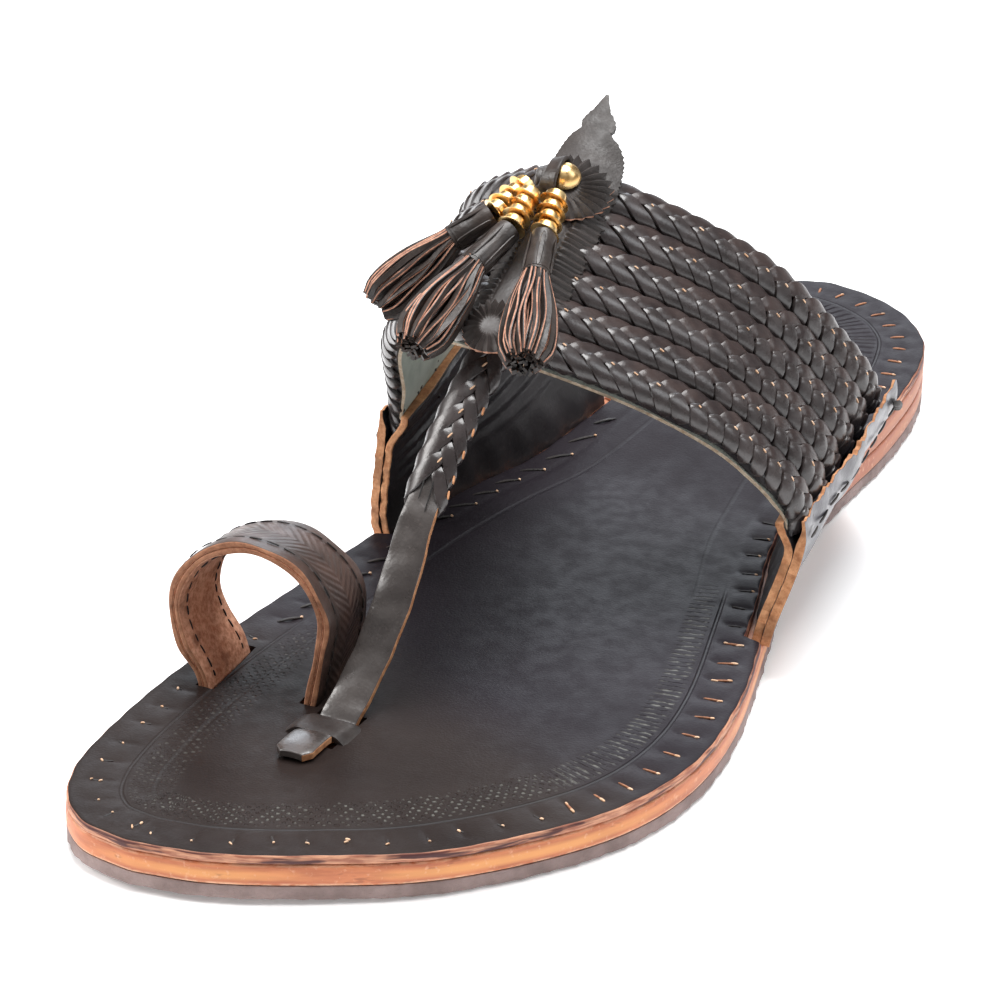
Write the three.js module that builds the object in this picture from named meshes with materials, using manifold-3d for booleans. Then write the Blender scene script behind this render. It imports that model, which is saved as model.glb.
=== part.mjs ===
// Kolhapuri sandal, left foot, in millimetres. +Z is up, the toe points to -Y,
// the medial side (big toe) is -X and the lateral side is +X.
// The origin lies on the floor under the middle of the sandal's outline.

import * as THREE from 'three';
import { mergeVertices } from 'three/addons/utils/BufferGeometryUtils.js';
import Module from 'manifold-3d';

const wasm = await Module();
wasm.setup();

// Driving dimensions
const LENGTH = 280;
const BALL_WIDTH = 98;
const INSTEP_HEIGHT = 85;
const HEEL_RAISE = 4.1;
const GAP = 0.3;
const OUTSOLE_THICK = 2.4;
const MIDSOLE_THICK = 3.9;
const INSOLE_THICK = 1.8;
const TOE_SPRING = 0.8;
const LEATHER = 1.9;
const BAND_WALL = 4.2;
const BAND_HEM_WALL = 2.4;
const BRAIDS = 6;
const BRAID_GROOVE = 1.7;

// Heights of the sole's layers on the flat forefoot
const MIDSOLE_BASE = OUTSOLE_THICK + GAP;
const MIDSOLE_TOP = MIDSOLE_BASE + MIDSOLE_THICK;
const INSOLE_BASE = MIDSOLE_TOP + GAP;
const INSOLE_TOP = INSOLE_BASE + INSOLE_THICK;

// Outline of the sole: share of the length along the foot (toe at -0.5), and the
// lateral and medial edges as shares of half the ball width
const OUTLINE = [
  { along: -0.5, lateral: -0.47, medial: -0.5 },
  { along: -0.493, lateral: -0.25, medial: -0.69 },
  { along: -0.482, lateral: -0.09, medial: -0.78 },
  { along: -0.464, lateral: 0.1, medial: -0.865 },
  { along: -0.429, lateral: 0.404, medial: -0.945 },
  { along: -0.393, lateral: 0.61, medial: -0.98 },
  { along: -0.357, lateral: 0.768, medial: -0.997 },
  { along: -0.321, lateral: 0.888, medial: -1.0 },
  { along: -0.286, lateral: 0.96, medial: -0.998 },
  { along: -0.25, lateral: 0.995, medial: -0.993 },
  { along: -0.214, lateral: 1.0, medial: -0.981 },
  { along: -0.179, lateral: 0.981, medial: -0.965 },
  { along: -0.143, lateral: 0.945, medial: -0.947 },
  { along: -0.107, lateral: 0.896, medial: -0.928 },
  { along: -0.071, lateral: 0.841, medial: -0.912 },
  { along: 0.0, lateral: 0.731, medial: -0.873 },
  { along: 0.071, lateral: 0.61, medial: -0.8 },
  { along: 0.143, lateral: 0.541, medial: -0.69 },
  { along: 0.214, lateral: 0.528, medial: -0.618 },
  { along: 0.286, lateral: 0.53, medial: -0.606 },
  { along: 0.357, lateral: 0.496, medial: -0.59 },
  { along: 0.393, lateral: 0.455, medial: -0.569 },
  { along: 0.429, lateral: 0.382, medial: -0.533 },
  { along: 0.464, lateral: 0.23, medial: -0.467 },
  { along: 0.482, lateral: 0.09, medial: -0.41 },
  { along: 0.493, lateral: -0.04, medial: -0.34 },
  { along: 0.5, lateral: -0.2, medial: -0.24 },
];

// The arch of the upper from the lateral flap over the crown to the medial flap, along
// the front and the rear edge of the braided band. across is a share of half the ball
// width, along a share of the length, up a share of the instep height.
const ARCH = [
  { place: 'lateral flap top', front: { across: 0.894, along: -0.041, up: 0.365 },
    rear: { across: 0.786, along: 0.146, up: 0.447 } },
  { place: 'lateral side', front: { across: 0.735, along: -0.055, up: 0.506 },
    rear: { across: 0.663, along: 0.13, up: 0.582 } },
  { place: 'lateral shoulder', front: { across: 0.449, along: -0.082, up: 0.629 },
    rear: { across: 0.388, along: 0.091, up: 0.788 } },
  { place: 'crown', front: { across: -0.163, along: -0.132, up: 0.776 },
    rear: { across: -0.224, along: 0.025, up: 0.994 } },
  { place: 'medial shoulder', front: { across: -0.571, along: -0.107, up: 0.735 },
    rear: { across: -0.551, along: 0.046, up: 0.929 } },
  { place: 'medial side', front: { across: -0.806, along: -0.064, up: 0.6 },
    rear: { across: -0.847, along: 0.086, up: 0.776 } },
  { place: 'medial flap top', front: { across: -0.878, along: -0.029, up: 0.388 },
    rear: { across: -0.898, along: 0.136, up: 0.518 } },
];

// Where the flaps stand on the sole's edge
const FLAP_FOOT = {
  lateral: { front: -16, rear: 58 },
  medial: { front: -9, rear: 60 },
};
const FLAP_INSET = 0.8;
const HEM_RISE = 4;
const HEM_LEAN = 0.9;
const ARCH_SPANS = ARCH.length + 3;
const FLAP_TOP = 2 / ARCH_SPANS;
const CROWN = 0.5;
const BAND_TUCK = 0.035;

// Smooth step from 0 to 1 between two values
function ramp(low, high, value) {
  return THREE.MathUtils.smoothstep(value, low, high);
}

// One column of the outline as a smooth function of y
function outlineEdge(column) {
  const points = OUTLINE.map((row) => new THREE.Vector3(row.along * LENGTH, row[column] * BALL_WIDTH / 2, 0));
  const curve = new THREE.CatmullRomCurve3(points, false, 'centripetal');
  const samples = curve.getPoints(points.length * 12);
  return (y) => {
    let i = 1;
    while (i < samples.length - 1 && samples[i].x < y) {
      i += 1;
    }
    const before = samples[i - 1];
    const share = THREE.MathUtils.clamp((y - before.x) / (samples[i].x - before.x), 0, 1);
    return THREE.MathUtils.lerp(before.y, samples[i].y, share);
  };
}

const edge = { lateral: outlineEdge('lateral'), medial: outlineEdge('medial') };
const SIDE_SIGN = { lateral: 1, medial: -1 };

// The heel lift raises the layers above it, and the toe is turned up a little
function raiseAt(y) {
  return HEEL_RAISE * ramp(28, 64, y);
}

function toeSpringAt(y) {
  return TOE_SPRING * ramp(0, 28, -112 - y);
}

// A closed body from rings of equal length, with both end rings capped by a fan
function bodyFromRings(rings) {
  const count = rings[0].length;
  const positions = rings.flat().flatMap((p) => [p.x, p.y, p.z]);
  const index = [];
  for (let r = 0; r < rings.length - 1; r += 1) {
    for (let c = 0; c < count; c += 1) {
      const a = r * count + c;
      const b = r * count + (c + 1) % count;
      index.push(a, b, a + count, b, b + count, a + count);
    }
  }
  const last = (rings.length - 1) * count;
  for (let c = 1; c < count - 1; c += 1) {
    index.push(0, c + 1, c);
    index.push(last, last + c, last + c + 1);
  }
  return outwardGeometry(positions, index);
}

// Indexed geometry whose faces point out, whatever way round it was built
function outwardGeometry(positions, index) {
  let volume = 0;
  const corner = [new THREE.Vector3(), new THREE.Vector3(), new THREE.Vector3()];
  for (let i = 0; i < index.length; i += 3) {
    corner.forEach((v, k) => v.fromArray(positions, index[i + k] * 3));
    volume += corner[0].dot(corner[1].cross(corner[2]));
  }
  const faces = volume > 0 ? index : index.toReversed();
  const geometry = new THREE.BufferGeometry();
  geometry.setAttribute('position', new THREE.Float32BufferAttribute(positions, 3));
  geometry.setIndex(faces);
  geometry.computeVertexNormals();
  return geometry;
}

// One layer of the sole, as cross-sections from toe to heel. inset narrows it by side and y.
function soleLayer({ from, to, bottom, top, inset = () => 0, stations }) {
  const rings = stations.filter((y) => y >= from && y <= to).map((y) => {
    const lateral = edge.lateral(y) - inset('lateral', y);
    const medial = edge.medial(y) + inset('medial', y);
    return [
      new THREE.Vector3(lateral, y, bottom(y)),
      new THREE.Vector3(lateral, y, top(y)),
      new THREE.Vector3(medial, y, top(y)),
      new THREE.Vector3(medial, y, bottom(y)),
    ];
  });
  return bodyFromRings(rings);
}

// Stations along the foot, closer together round the toe and the heel
function soleStations(extra = []) {
  const even = Array.from({ length: 57 }, (_, i) => -LENGTH / 2 * Math.cos(Math.PI * i / 56));
  return [...even, ...extra].sort((a, b) => a - b).filter((y, i, all) => i === 0 || y - all[i - 1] > 0.02);
}

function outsoleBottom(y) {
  return toeSpringAt(y);
}

function midsoleBottom(y) {
  return MIDSOLE_BASE + raiseAt(y) + toeSpringAt(y);
}

function midsoleTop(y) {
  return midsoleBottom(y) + MIDSOLE_THICK;
}

function insoleBottom(y) {
  return midsoleTop(y) + GAP;
}

function insoleTop(y) {
  return insoleBottom(y) + INSOLE_THICK;
}

// Points of one section of the arch, at share w of the band's width from front to rear
function archKeys(w) {
  const foot = (side) => {
    const y = THREE.MathUtils.lerp(FLAP_FOOT[side].front, FLAP_FOOT[side].rear, w);
    const x = edge[side](y) - SIDE_SIGN[side] * FLAP_INSET;
    const z = insoleBottom(y);
    const hem = new THREE.Vector3(x + SIDE_SIGN[side] * HEM_LEAN, y, z + HEM_RISE);
    return [new THREE.Vector3(x, y, z), hem];
  };
  const middle = ARCH.map(({ front, rear }) => new THREE.Vector3(
    THREE.MathUtils.lerp(front.across, rear.across, w) * BALL_WIDTH / 2,
    THREE.MathUtils.lerp(front.along, rear.along, w) * LENGTH,
    THREE.MathUtils.lerp(front.up, rear.up, w) * INSTEP_HEIGHT,
  ));
  return [...foot('lateral'), ...middle, ...foot('medial').reverse()];
}

const archCurves = new Map();

// The upper's outer surface: t from the lateral foot (0) to the medial foot (1)
function upperPoint(t, w) {
  if (!archCurves.has(w)) {
    archCurves.set(w, new THREE.CatmullRomCurve3(archKeys(w), false, 'centripetal'));
  }
  return archCurves.get(w).getPoint(THREE.MathUtils.clamp(t, 0, 1));
}

const STEP = 1e-3;

function upperNormal(t, w) {
  const alongT = upperPoint(t + STEP, w).sub(upperPoint(t - STEP, w));
  const alongW = upperPoint(t, w + STEP).sub(upperPoint(t, w - STEP));
  return alongW.cross(alongT).normalize();
}

function upperOffset(t, w, distance) {
  return upperPoint(t, w).addScaledVector(upperNormal(t, w), distance);
}

// A wall that follows the upper's surface. spot(u, v) gives t and w, outer and inner give
// the wall's distances from that surface at t and w.
function upperWall({ columns, rows, spot, outer, inner }) {
  const rings = [];
  for (let i = 0; i <= columns; i += 1) {
    const faces = [[], []];
    for (let j = 0; j <= rows; j += 1) {
      const { t, w } = spot(i / columns, j / rows);
      faces[0].push(upperOffset(t, w, outer(t, w)));
      faces[1].push(upperOffset(t, w, inner(t, w)));
    }
    rings.push([...faces[0], ...faces[1].reverse()]);
  }
  return stripBody(rings, rows + 1);
}

// Closes a wall whose rings run out along one face and back along the other
function stripBody(rings, half) {
  const count = rings[0].length;
  const positions = rings.flat().flatMap((p) => [p.x, p.y, p.z]);
  const index = [];
  for (let r = 0; r < rings.length - 1; r += 1) {
    for (let c = 0; c < count; c += 1) {
      const a = r * count + c;
      const b = r * count + (c + 1) % count;
      index.push(a, b, a + count, b, b + count, a + count);
    }
  }
  for (const [row, flip] of [[0, false], [rings.length - 1, true]]) {
    for (let c = 0; c < half - 1; c += 1) {
      const a = row * count + c;
      const b = a + 1;
      const d = row * count + count - 1 - c;
      const e = d - 1;
      const faces = [a, d, b, b, d, e];
      index.push(...(flip ? faces.reverse() : faces));
    }
  }
  return outwardGeometry(positions, index);
}

// How far the plaited part has come out from between the flaps, at t
function outOfTuck(t) {
  const edgeDistance = Math.min(t, 1 - t);
  return ramp(FLAP_TOP + 0.005, FLAP_TOP + 0.05, edgeDistance);
}

function bandOuter(t, w) {
  const plait = -BRAID_GROOVE * (1 - Math.sqrt(Math.abs(Math.sin(BRAIDS * Math.PI * w))));
  return THREE.MathUtils.lerp(-GAP, plait, outOfTuck(t));
}

function bandInner(t) {
  return THREE.MathUtils.lerp(-GAP - BAND_HEM_WALL, -BAND_WALL, outOfTuck(t));
}

function bandGeometry() {
  const start = FLAP_TOP - BAND_TUCK;
  return upperWall({
    columns: 34,
    rows: BRAIDS * 4,
    spot: (u, v) => ({ t: THREE.MathUtils.lerp(start, 1 - start, u), w: v }),
    outer: bandOuter,
    inner: bandInner,
  });
}

// The outer leather of a side flap lies over the band's end
function outerFlapGeometry(side) {
  return upperWall({
    columns: 9,
    rows: 14,
    spot: flapSpot(side),
    outer: () => GAP + LEATHER,
    inner: () => 0,
  });
}

// The inner leather backs the band's end and meets the outer one below it
function innerFlapGeometry(side) {
  const facing = (t) => {
    const edgeDistance = Math.min(t, 1 - t);
    const behindBand = -BAND_HEM_WALL - 2 * GAP;
    return THREE.MathUtils.lerp(-GAP, behindBand, ramp(0.1, FLAP_TOP - BAND_TUCK - 0.01, edgeDistance));
  };
  return upperWall({
    columns: 9,
    rows: 14,
    spot: flapSpot(side),
    outer: (t) => facing(t),
    inner: (t) => facing(t) - LEATHER,
  });
}

function flapSpot(side) {
  return (u, v) => {
    const rise = u * FLAP_TOP;
    return { t: side === 'lateral' ? rise : 1 - rise, w: THREE.MathUtils.lerp(-0.015, 1.02, v) };
  };
}

// The insole is cut back where the flaps pass down beside it
const FLAP_CUT = FLAP_INSET + GAP + LEATHER + GAP;
const FLAP_END_CLEAR = 2.2;

function insoleInset(side, y) {
  const { front, rear } = FLAP_FOOT[side];
  return y > front - FLAP_END_CLEAR && y < rear + FLAP_END_CLEAR ? FLAP_CUT : 0;
}

function insoleCutStations() {
  const edges = Object.values(FLAP_FOOT).flatMap(({ front, rear }) => [front - FLAP_END_CLEAR, rear + FLAP_END_CLEAR]);
  return edges.flatMap((y) => [y - 0.05, y + 0.05]);
}

// Booleans between closed geometries
function toSolid(geometry) {
  const plain = geometry.clone();
  plain.deleteAttribute('normal');
  plain.deleteAttribute('uv');
  const merged = mergeVertices(plain, 1e-4);
  return new wasm.Manifold(new wasm.Mesh({
    numProp: 3,
    vertProperties: new Float32Array(merged.attributes.position.array),
    triVerts: new Uint32Array(merged.index.array),
  }));
}

function fromSolid(solid) {
  const mesh = solid.getMesh();
  const geometry = new THREE.BufferGeometry();
  geometry.setAttribute('position', new THREE.Float32BufferAttribute(mesh.vertProperties, 3));
  geometry.setIndex(new THREE.BufferAttribute(mesh.triVerts, 1));
  geometry.computeVertexNormals();
  return geometry;
}

// Toe loop: a round band for the big toe, of two leathers, whose feet go through the insole
const LOOP = { x: -32.7, z: 23.4, radius: 15.8, width: 17.5, front: -82.6, lowerRear: 3, leanRear: 1.1 };
const LOOP_TURN = THREE.MathUtils.degToRad(7.5);
const LOOP_FOOT = { medial: -42.4, lateral: -19.6 };

// Centre line of the loop's outer face in its front plane, from the medial to the lateral foot
function loopLine() {
  const points = [];
  points.push([LOOP_FOOT.medial, INSOLE_BASE]);
  points.push([LOOP_FOOT.medial - 1.2, INSOLE_TOP + 2]);
  for (let i = 0; i <= 8; i += 1) {
    const angle = THREE.MathUtils.degToRad(THREE.MathUtils.lerp(208, -18, i / 8));
    points.push([LOOP.x + LOOP.radius * Math.cos(angle), LOOP.z + LOOP.radius * Math.sin(angle)]);
  }
  points.push([LOOP_FOOT.lateral + 0.6, INSOLE_TOP + 3]);
  points.push([LOOP_FOOT.lateral, INSOLE_BASE]);
  const curve = new THREE.CatmullRomCurve3(points.map(([x, z]) => new THREE.Vector3(x, 0, z)));
  return curve;
}

function loopLayer(outer, inner) {
  const curve = loopLine();
  const steps = 30;
  const rings = [];
  for (let i = 0; i <= steps; i += 1) {
    const p = curve.getPoint(i / steps);
    const tangent = curve.getTangent(i / steps);
    if (i === 0 || i === steps) {
      tangent.set(0, 0, i === 0 ? 1 : -1);
    }
    const out = new THREE.Vector3(-tangent.z, 0, tangent.x);
    const high = ramp(INSOLE_TOP, LOOP.z + LOOP.radius, p.z);
    const ring = [[0, outer], [1, outer], [1, inner], [0, inner]].map(([back, distance]) => {
      const q = p.clone().addScaledVector(out, distance);
      q.y = LOOP.front + back * LOOP.width;
      q.z -= back * LOOP.lowerRear * high;
      q.x += back * LOOP.leanRear;
      return turnLoop(q);
    });
    rings.push(ring);
  }
  return bodyFromRings(rings);
}

// The loop is turned a little about the vertical through its middle
function turnLoop(point) {
  const pivot = new THREE.Vector3(LOOP.x, LOOP.front, 0);
  return point.sub(pivot).applyAxisAngle(new THREE.Vector3(0, 0, 1), LOOP_TURN).add(pivot);
}

function boxAt(centre, size, turn = 0) {
  const geometry = new THREE.BoxGeometry(...size);
  geometry.rotateZ(turn);
  geometry.translate(...centre);
  return geometry;
}

// Toe strap: plaited from the band's front edge, then flat, through a slit in the insole,
// under a bridge of it and out in front as a tab
const STRAP_LINE = [
  { x: -8.0, y: -39.4, z: 62.3, wide: 8.4, thick: 3.2 },
  { x: -9.1, y: -46.9, z: 55.4, wide: 8.6, thick: 3.4 },
  { x: -10.0, y: -54.6, z: 46.9, wide: 8.6, thick: 3.2 },
  { x: -10.5, y: -60.5, z: 38.2, wide: 8.8, thick: 2.4 },
  { x: -11.0, y: -66.0, z: 28.6, wide: 8.8, thick: 1.9 },
  { x: -11.9, y: -72.4, z: 19.4, wide: 8.4, thick: 1.8 },
  { x: -12.9, y: -77.6, z: 13.4, wide: 8.2, thick: 1.8 },
  { x: -13.5, y: -81.6, z: 9.9, wide: 7.8, thick: 1.7 },
  { x: -13.8, y: -83.5, z: 8.2, wide: 7.8, thick: 1.6 },
  { x: -14.0, y: -84.9, z: 7.8, wide: 7.8, thick: 1.5 },
  { x: -14.2, y: -88.6, z: 7.8, wide: 7.8, thick: 1.5 },
  { x: -14.2, y: -90.6, z: 8.7, wide: 7.8, thick: 1.6 },
  { x: -14.1, y: -93.0, z: 9.8, wide: 7.8, thick: 1.6 },
  { x: -13.9, y: -97.4, z: 9.95, wide: 7.4, thick: 1.6 },
  { x: -13.7, y: -101.0, z: 9.9, wide: 5.0, thick: 1.4 },
];

function strapGeometry() {
  const middle = new THREE.CatmullRomCurve3(STRAP_LINE.map((p) => new THREE.Vector3(p.x, p.y, p.z)));
  const size = new THREE.CatmullRomCurve3(STRAP_LINE.map((p) => new THREE.Vector3(p.wide, p.thick, 0)));
  const steps = (STRAP_LINE.length - 1) * 3;
  const rings = [];
  for (let i = 0; i <= steps; i += 1) {
    const p = middle.getPoint(i / steps);
    const tangent = middle.getTangent(i / steps);
    const { x: wide, y: thick } = size.getPoint(i / steps);
    const across = new THREE.Vector3(1, 0.12, 0).cross(tangent).cross(tangent).negate().normalize();
    const up = new THREE.Vector3().crossVectors(tangent, across).normalize();
    const corners = [[-1, -0.5], [-0.8, -1], [0.8, -1], [1, -0.5], [1, 0.5], [0.8, 1], [-0.8, 1], [-1, 0.5]];
    rings.push(corners.map(([a, b]) => p.clone()
      .addScaledVector(across, a * wide / 2)
      .addScaledVector(up, b * thick / 2)));
  }
  return bodyFromRings(rings);
}

// The bridge of insole leather that holds the strap down
const BRIDGE = { x: -14.1, halfSpan: 8, halfOpen: 4.4, front: -88.8, rear: -84.6, rise: 2.0 };

function bridgeGeometry() {
  const { x, halfSpan, halfOpen, front, rear, rise } = BRIDGE;
  const low = INSOLE_BASE + 0.4;
  const under = INSOLE_TOP + GAP;
  const shape = new THREE.Shape();
  shape.moveTo(-halfSpan, low);
  shape.lineTo(-halfOpen - 0.2, low);
  shape.lineTo(-halfOpen - 0.2, under);
  shape.lineTo(halfOpen + 0.2, under);
  shape.lineTo(halfOpen + 0.2, low);
  shape.lineTo(halfSpan, low);
  shape.lineTo(halfSpan, INSOLE_TOP);
  shape.quadraticCurveTo(halfOpen + 1.6, INSOLE_TOP, halfOpen, INSOLE_TOP + rise);
  shape.lineTo(-halfOpen, INSOLE_TOP + rise);
  shape.quadraticCurveTo(-halfOpen - 1.6, INSOLE_TOP, -halfSpan, INSOLE_TOP);
  const geometry = new THREE.ExtrudeGeometry(shape, { depth: rear - front, bevelEnabled: false, curveSegments: 4 });
  geometry.rotateX(Math.PI / 2);
  geometry.translate(x, rear, 0);
  return geometry;
}

function insoleGeometry() {
  const stations = soleStations(insoleCutStations());
  const plain = soleLayer({
    from: -LENGTH / 2, to: LENGTH / 2, bottom: insoleBottom, top: insoleTop, inset: insoleInset, stations,
  });
  const deep = 6;
  const slotSize = [LEATHER * 2 + 3 * GAP + 0.6, LOOP.width + 1.2, deep];
  const slotTurn = LOOP_TURN - Math.atan2(LOOP.leanRear, LOOP.width);
  const loopMiddle = (x) => turnLoop(new THREE.Vector3(
    x + LOOP.leanRear / 2, LOOP.front + LOOP.width / 2, INSOLE_BASE,
  ));
  const medialSlot = loopMiddle(LOOP_FOOT.medial + LEATHER);
  const lateralSlot = loopMiddle(LOOP_FOOT.lateral - LEATHER);
  const strapSlot = boxAt([-13.9, -87.2, INSOLE_BASE], [8.8, 13.4, deep]);
  let solid = toSolid(plain)
    .subtract(toSolid(boxAt(medialSlot.toArray(), slotSize, slotTurn)))
    .subtract(toSolid(boxAt(lateralSlot.toArray(), slotSize, slotTurn)))
    .subtract(toSolid(strapSlot));
  solid = solid.add(toSolid(bridgeGeometry()));
  return fromSolid(solid);
}

// Centre plate: a strip down the crown over the braids' inner ends, with round shoulders,
// a notch on each side and a pointed tip that stands past the band's rear edge
const PLATE = [
  { along: -1.2, half: 5.6 },
  { along: 1.5, half: 8.4 },
  { along: 5, half: 9.3 },
  { along: 30, half: 9.3 },
  { along: 42, half: 8.8 },
  { along: 47, half: 8.3 },
  { along: 50.5, half: 7.2 },
  { along: 53, half: 5.4 },
  { along: 54.6, half: 3.5 },
  { along: 56.2, half: 3.9 },
  { along: 58, half: 3.0 },
  { along: 60, half: 1.5 },
  { along: 62.8, half: 0.35 },
];
const CROWN_LENGTH = 48;
const CROWN_SPAN = 330;
const PLATE_LOW = GAP;
const PLATE_HIGH = PLATE_LOW + LEATHER;

function plateGeometry() {
  const rings = PLATE.map(({ along, half }) => {
    const w = along / CROWN_LENGTH;
    const faces = [[], []];
    for (const share of [-1, -0.5, 0, 0.5, 1]) {
      const t = CROWN + share * half / CROWN_SPAN;
      faces[0].push(upperOffset(t, w, PLATE_HIGH));
      faces[1].push(upperOffset(t, w, PLATE_LOW));
    }
    return [...faces[0], ...faces[1].reverse()];
  });
  return stripBody(rings, 5);
}

// Places a shape made round +Z on the crown, at a height above the upper's surface
function onCrown(geometry, along, height) {
  const w = along / CROWN_LENGTH;
  const up = upperNormal(CROWN, w);
  const turn = new THREE.Quaternion().setFromUnitVectors(new THREE.Vector3(0, 0, 1), up);
  geometry.applyQuaternion(turn);
  geometry.translate(...upperOffset(CROWN, w, height).toArray());
  return geometry;
}

// A round leather rosette with a toothed edge
function rosetteGeometry(radius, thick, teeth) {
  const shape = new THREE.Shape();
  for (let i = 0; i <= teeth * 2; i += 1) {
    const r = i % 2 === 0 ? radius : radius - 0.7;
    const angle = Math.PI * i / teeth;
    const draw = i === 0 ? 'moveTo' : 'lineTo';
    shape[draw](r * Math.cos(angle), r * Math.sin(angle));
  }
  return new THREE.ExtrudeGeometry(shape, { depth: thick, bevelEnabled: false });
}

function lathe(profile, segments) {
  const geometry = new THREE.LatheGeometry(profile.map(([r, z]) => new THREE.Vector2(r, z)), segments);
  geometry.rotateX(Math.PI / 2);
  return geometry;
}

const ROSETTE = { thick: 1.3, teeth: 20, upperAlong: 38.5, upperRadius: 8, lowerAlong: 0.6, lowerRadius: 6.3 };
const BUTTON_RADIUS = 3;

function buttonGeometry() {
  const profile = [[0, 0]];
  for (let i = 0; i <= 6; i += 1) {
    const angle = Math.PI / 2 * i / 6;
    profile.push([BUTTON_RADIUS * Math.cos(angle), 0.7 + 1.9 * Math.sin(angle)]);
  }
  profile[profile.length - 1][0] = 0;
  profile.splice(1, 0, [BUTTON_RADIUS, 0]);
  return lathe(profile, 20);
}

// Tassels: where the coil starts, where the neck starts, where the fringe starts and ends
const TASSELS = [
  { name: 'medial', coil: [-17.4, -6.6, 87.2], neck: [-20.0, -15.6, 83.1], fringe: [-25.2, -21.8, 79.0],
    end: [-39.6, -34.6, 67.6] },
  { name: 'middle', coil: [-13.1, -10.2, 86.6], neck: [-12.4, -19.2, 82.8], fringe: [-14.6, -27.8, 78.9],
    end: [-19.6, -50.4, 68.8] },
  { name: 'lateral', coil: [-8.4, -9.2, 86.2], neck: [-6.0, -18.2, 81.8], fringe: [-2.8, -26.6, 78.1],
    end: [5.4, -48.4, 68.6] },
];
const COIL_RADIUS = 1.8;
const COIL_FLANGE = 2.3;
const NECK_PROFILE = [[1.2, 0], [2.5, 0.16], [2.5, 1]];
const TASSEL_GAP = 0.5;
const FRINGE_PROFILE = [
  { along: 0, radius: 2.3 }, { along: 0.12, radius: 3.0 }, { along: 0.35, radius: 4.1 },
  { along: 0.62, radius: 4.6 }, { along: 0.86, radius: 4.2 }, { along: 1, radius: 3.1 },
];
const RINGS_PER_COIL = 4;

// A turned body from one point to another, with a small gap at both ends
function turnedBetween(profile, from, to, segments) {
  const start = new THREE.Vector3(...from);
  const axis = new THREE.Vector3(...to).sub(start);
  const length = axis.length() - TASSEL_GAP;
  axis.normalize();
  start.addScaledVector(axis, TASSEL_GAP / 2);
  const scaled = profile.map(([r, share]) => [r, share * length]);
  const geometry = lathe([[0, 0], ...scaled, [0, length]], segments);
  geometry.applyQuaternion(new THREE.Quaternion().setFromUnitVectors(new THREE.Vector3(0, 0, 1), axis));
  geometry.translate(...start.toArray());
  return geometry;
}

function coilProfile() {
  const profile = [];
  for (let i = 0; i < RINGS_PER_COIL; i += 1) {
    const base = i / RINGS_PER_COIL;
    const step = 1 / RINGS_PER_COIL;
    profile.push([COIL_RADIUS, base], [COIL_RADIUS, base + 0.5 * step]);
    profile.push([COIL_FLANGE, base + 0.58 * step], [COIL_FLANGE, base + 0.92 * step]);
  }
  profile.push([COIL_RADIUS, 1]);
  return profile;
}

// Finishes of the parts
const FINISH = {
  rubber: { color: 0x6d615b, roughness: 0.85, metalness: 0 },
  tan: { color: 0xc47a45, roughness: 0.55, metalness: 0 },
  dark: { color: 0x2e2624, roughness: 0.45, metalness: 0 },
  braid: { color: 0x3a302d, roughness: 0.35, metalness: 0 },
  suede: { color: 0x8a5a41, roughness: 0.9, metalness: 0 },
  brass: { color: 0xd0a445, roughness: 0.25, metalness: 1 },
};

const sandal = new THREE.Group();

function addPart(name, finish, geometry) {
  const mesh = new THREE.Mesh(geometry, new THREE.MeshStandardMaterial(FINISH[finish]));
  mesh.name = name;
  sandal.add(mesh);
}

const ALL = { from: -LENGTH / 2, to: LENGTH / 2, stations: soleStations() };
addPart('outsole', 'rubber', soleLayer({
  ...ALL, bottom: outsoleBottom, top: (y) => outsoleBottom(y) + OUTSOLE_THICK,
}));
addPart('heel_lift', 'tan', soleLayer({
  ...ALL, from: 44, bottom: () => MIDSOLE_BASE, top: (y) => midsoleBottom(y) - GAP,
}));
addPart('midsole', 'tan', soleLayer({ ...ALL, bottom: midsoleBottom, top: midsoleTop }));
addPart('insole', 'dark', insoleGeometry());
addPart('upper', 'braid', bandGeometry());
for (const side of ['lateral', 'medial']) {
  addPart(`flap_${side}_outer`, 'dark', outerFlapGeometry(side));
  addPart(`flap_${side}_inner`, 'dark', innerFlapGeometry(side));
}
addPart('toe_strap', 'braid', strapGeometry());
addPart('toe_loop_outer', 'dark', loopLayer(0, -LEATHER));
addPart('toe_loop_lining', 'suede', loopLayer(-LEATHER - GAP, -2 * LEATHER - GAP));
addPart('centre_plate', 'dark', plateGeometry());
const rosetteBase = PLATE_HIGH + GAP;
for (const place of ['upper', 'lower']) {
  const disc = rosetteGeometry(ROSETTE[`${place}Radius`], ROSETTE.thick, ROSETTE.teeth);
  addPart(`rosette_${place}`, 'dark', onCrown(disc, ROSETTE[`${place}Along`], rosetteBase));
}
addPart('button', 'brass', onCrown(buttonGeometry(), ROSETTE.upperAlong, rosetteBase + ROSETTE.thick + GAP));
for (const { name, coil, neck, fringe, end } of TASSELS) {
  addPart(`tassel_${name}_coil`, 'brass', turnedBetween(coilProfile(), coil, neck, 14));
  addPart(`tassel_${name}_neck`, 'dark', turnedBetween(NECK_PROFILE, neck, fringe, 14));
  const profile = FRINGE_PROFILE.map(({ along, radius }) => [radius, along]);
  addPart(`tassel_${name}_fringe`, 'dark', turnedBetween(profile, fringe, end, 14));
}

export default sandal;
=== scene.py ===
import math
import random

import bpy
import numpy as np
from mathutils import Matrix, Vector


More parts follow.
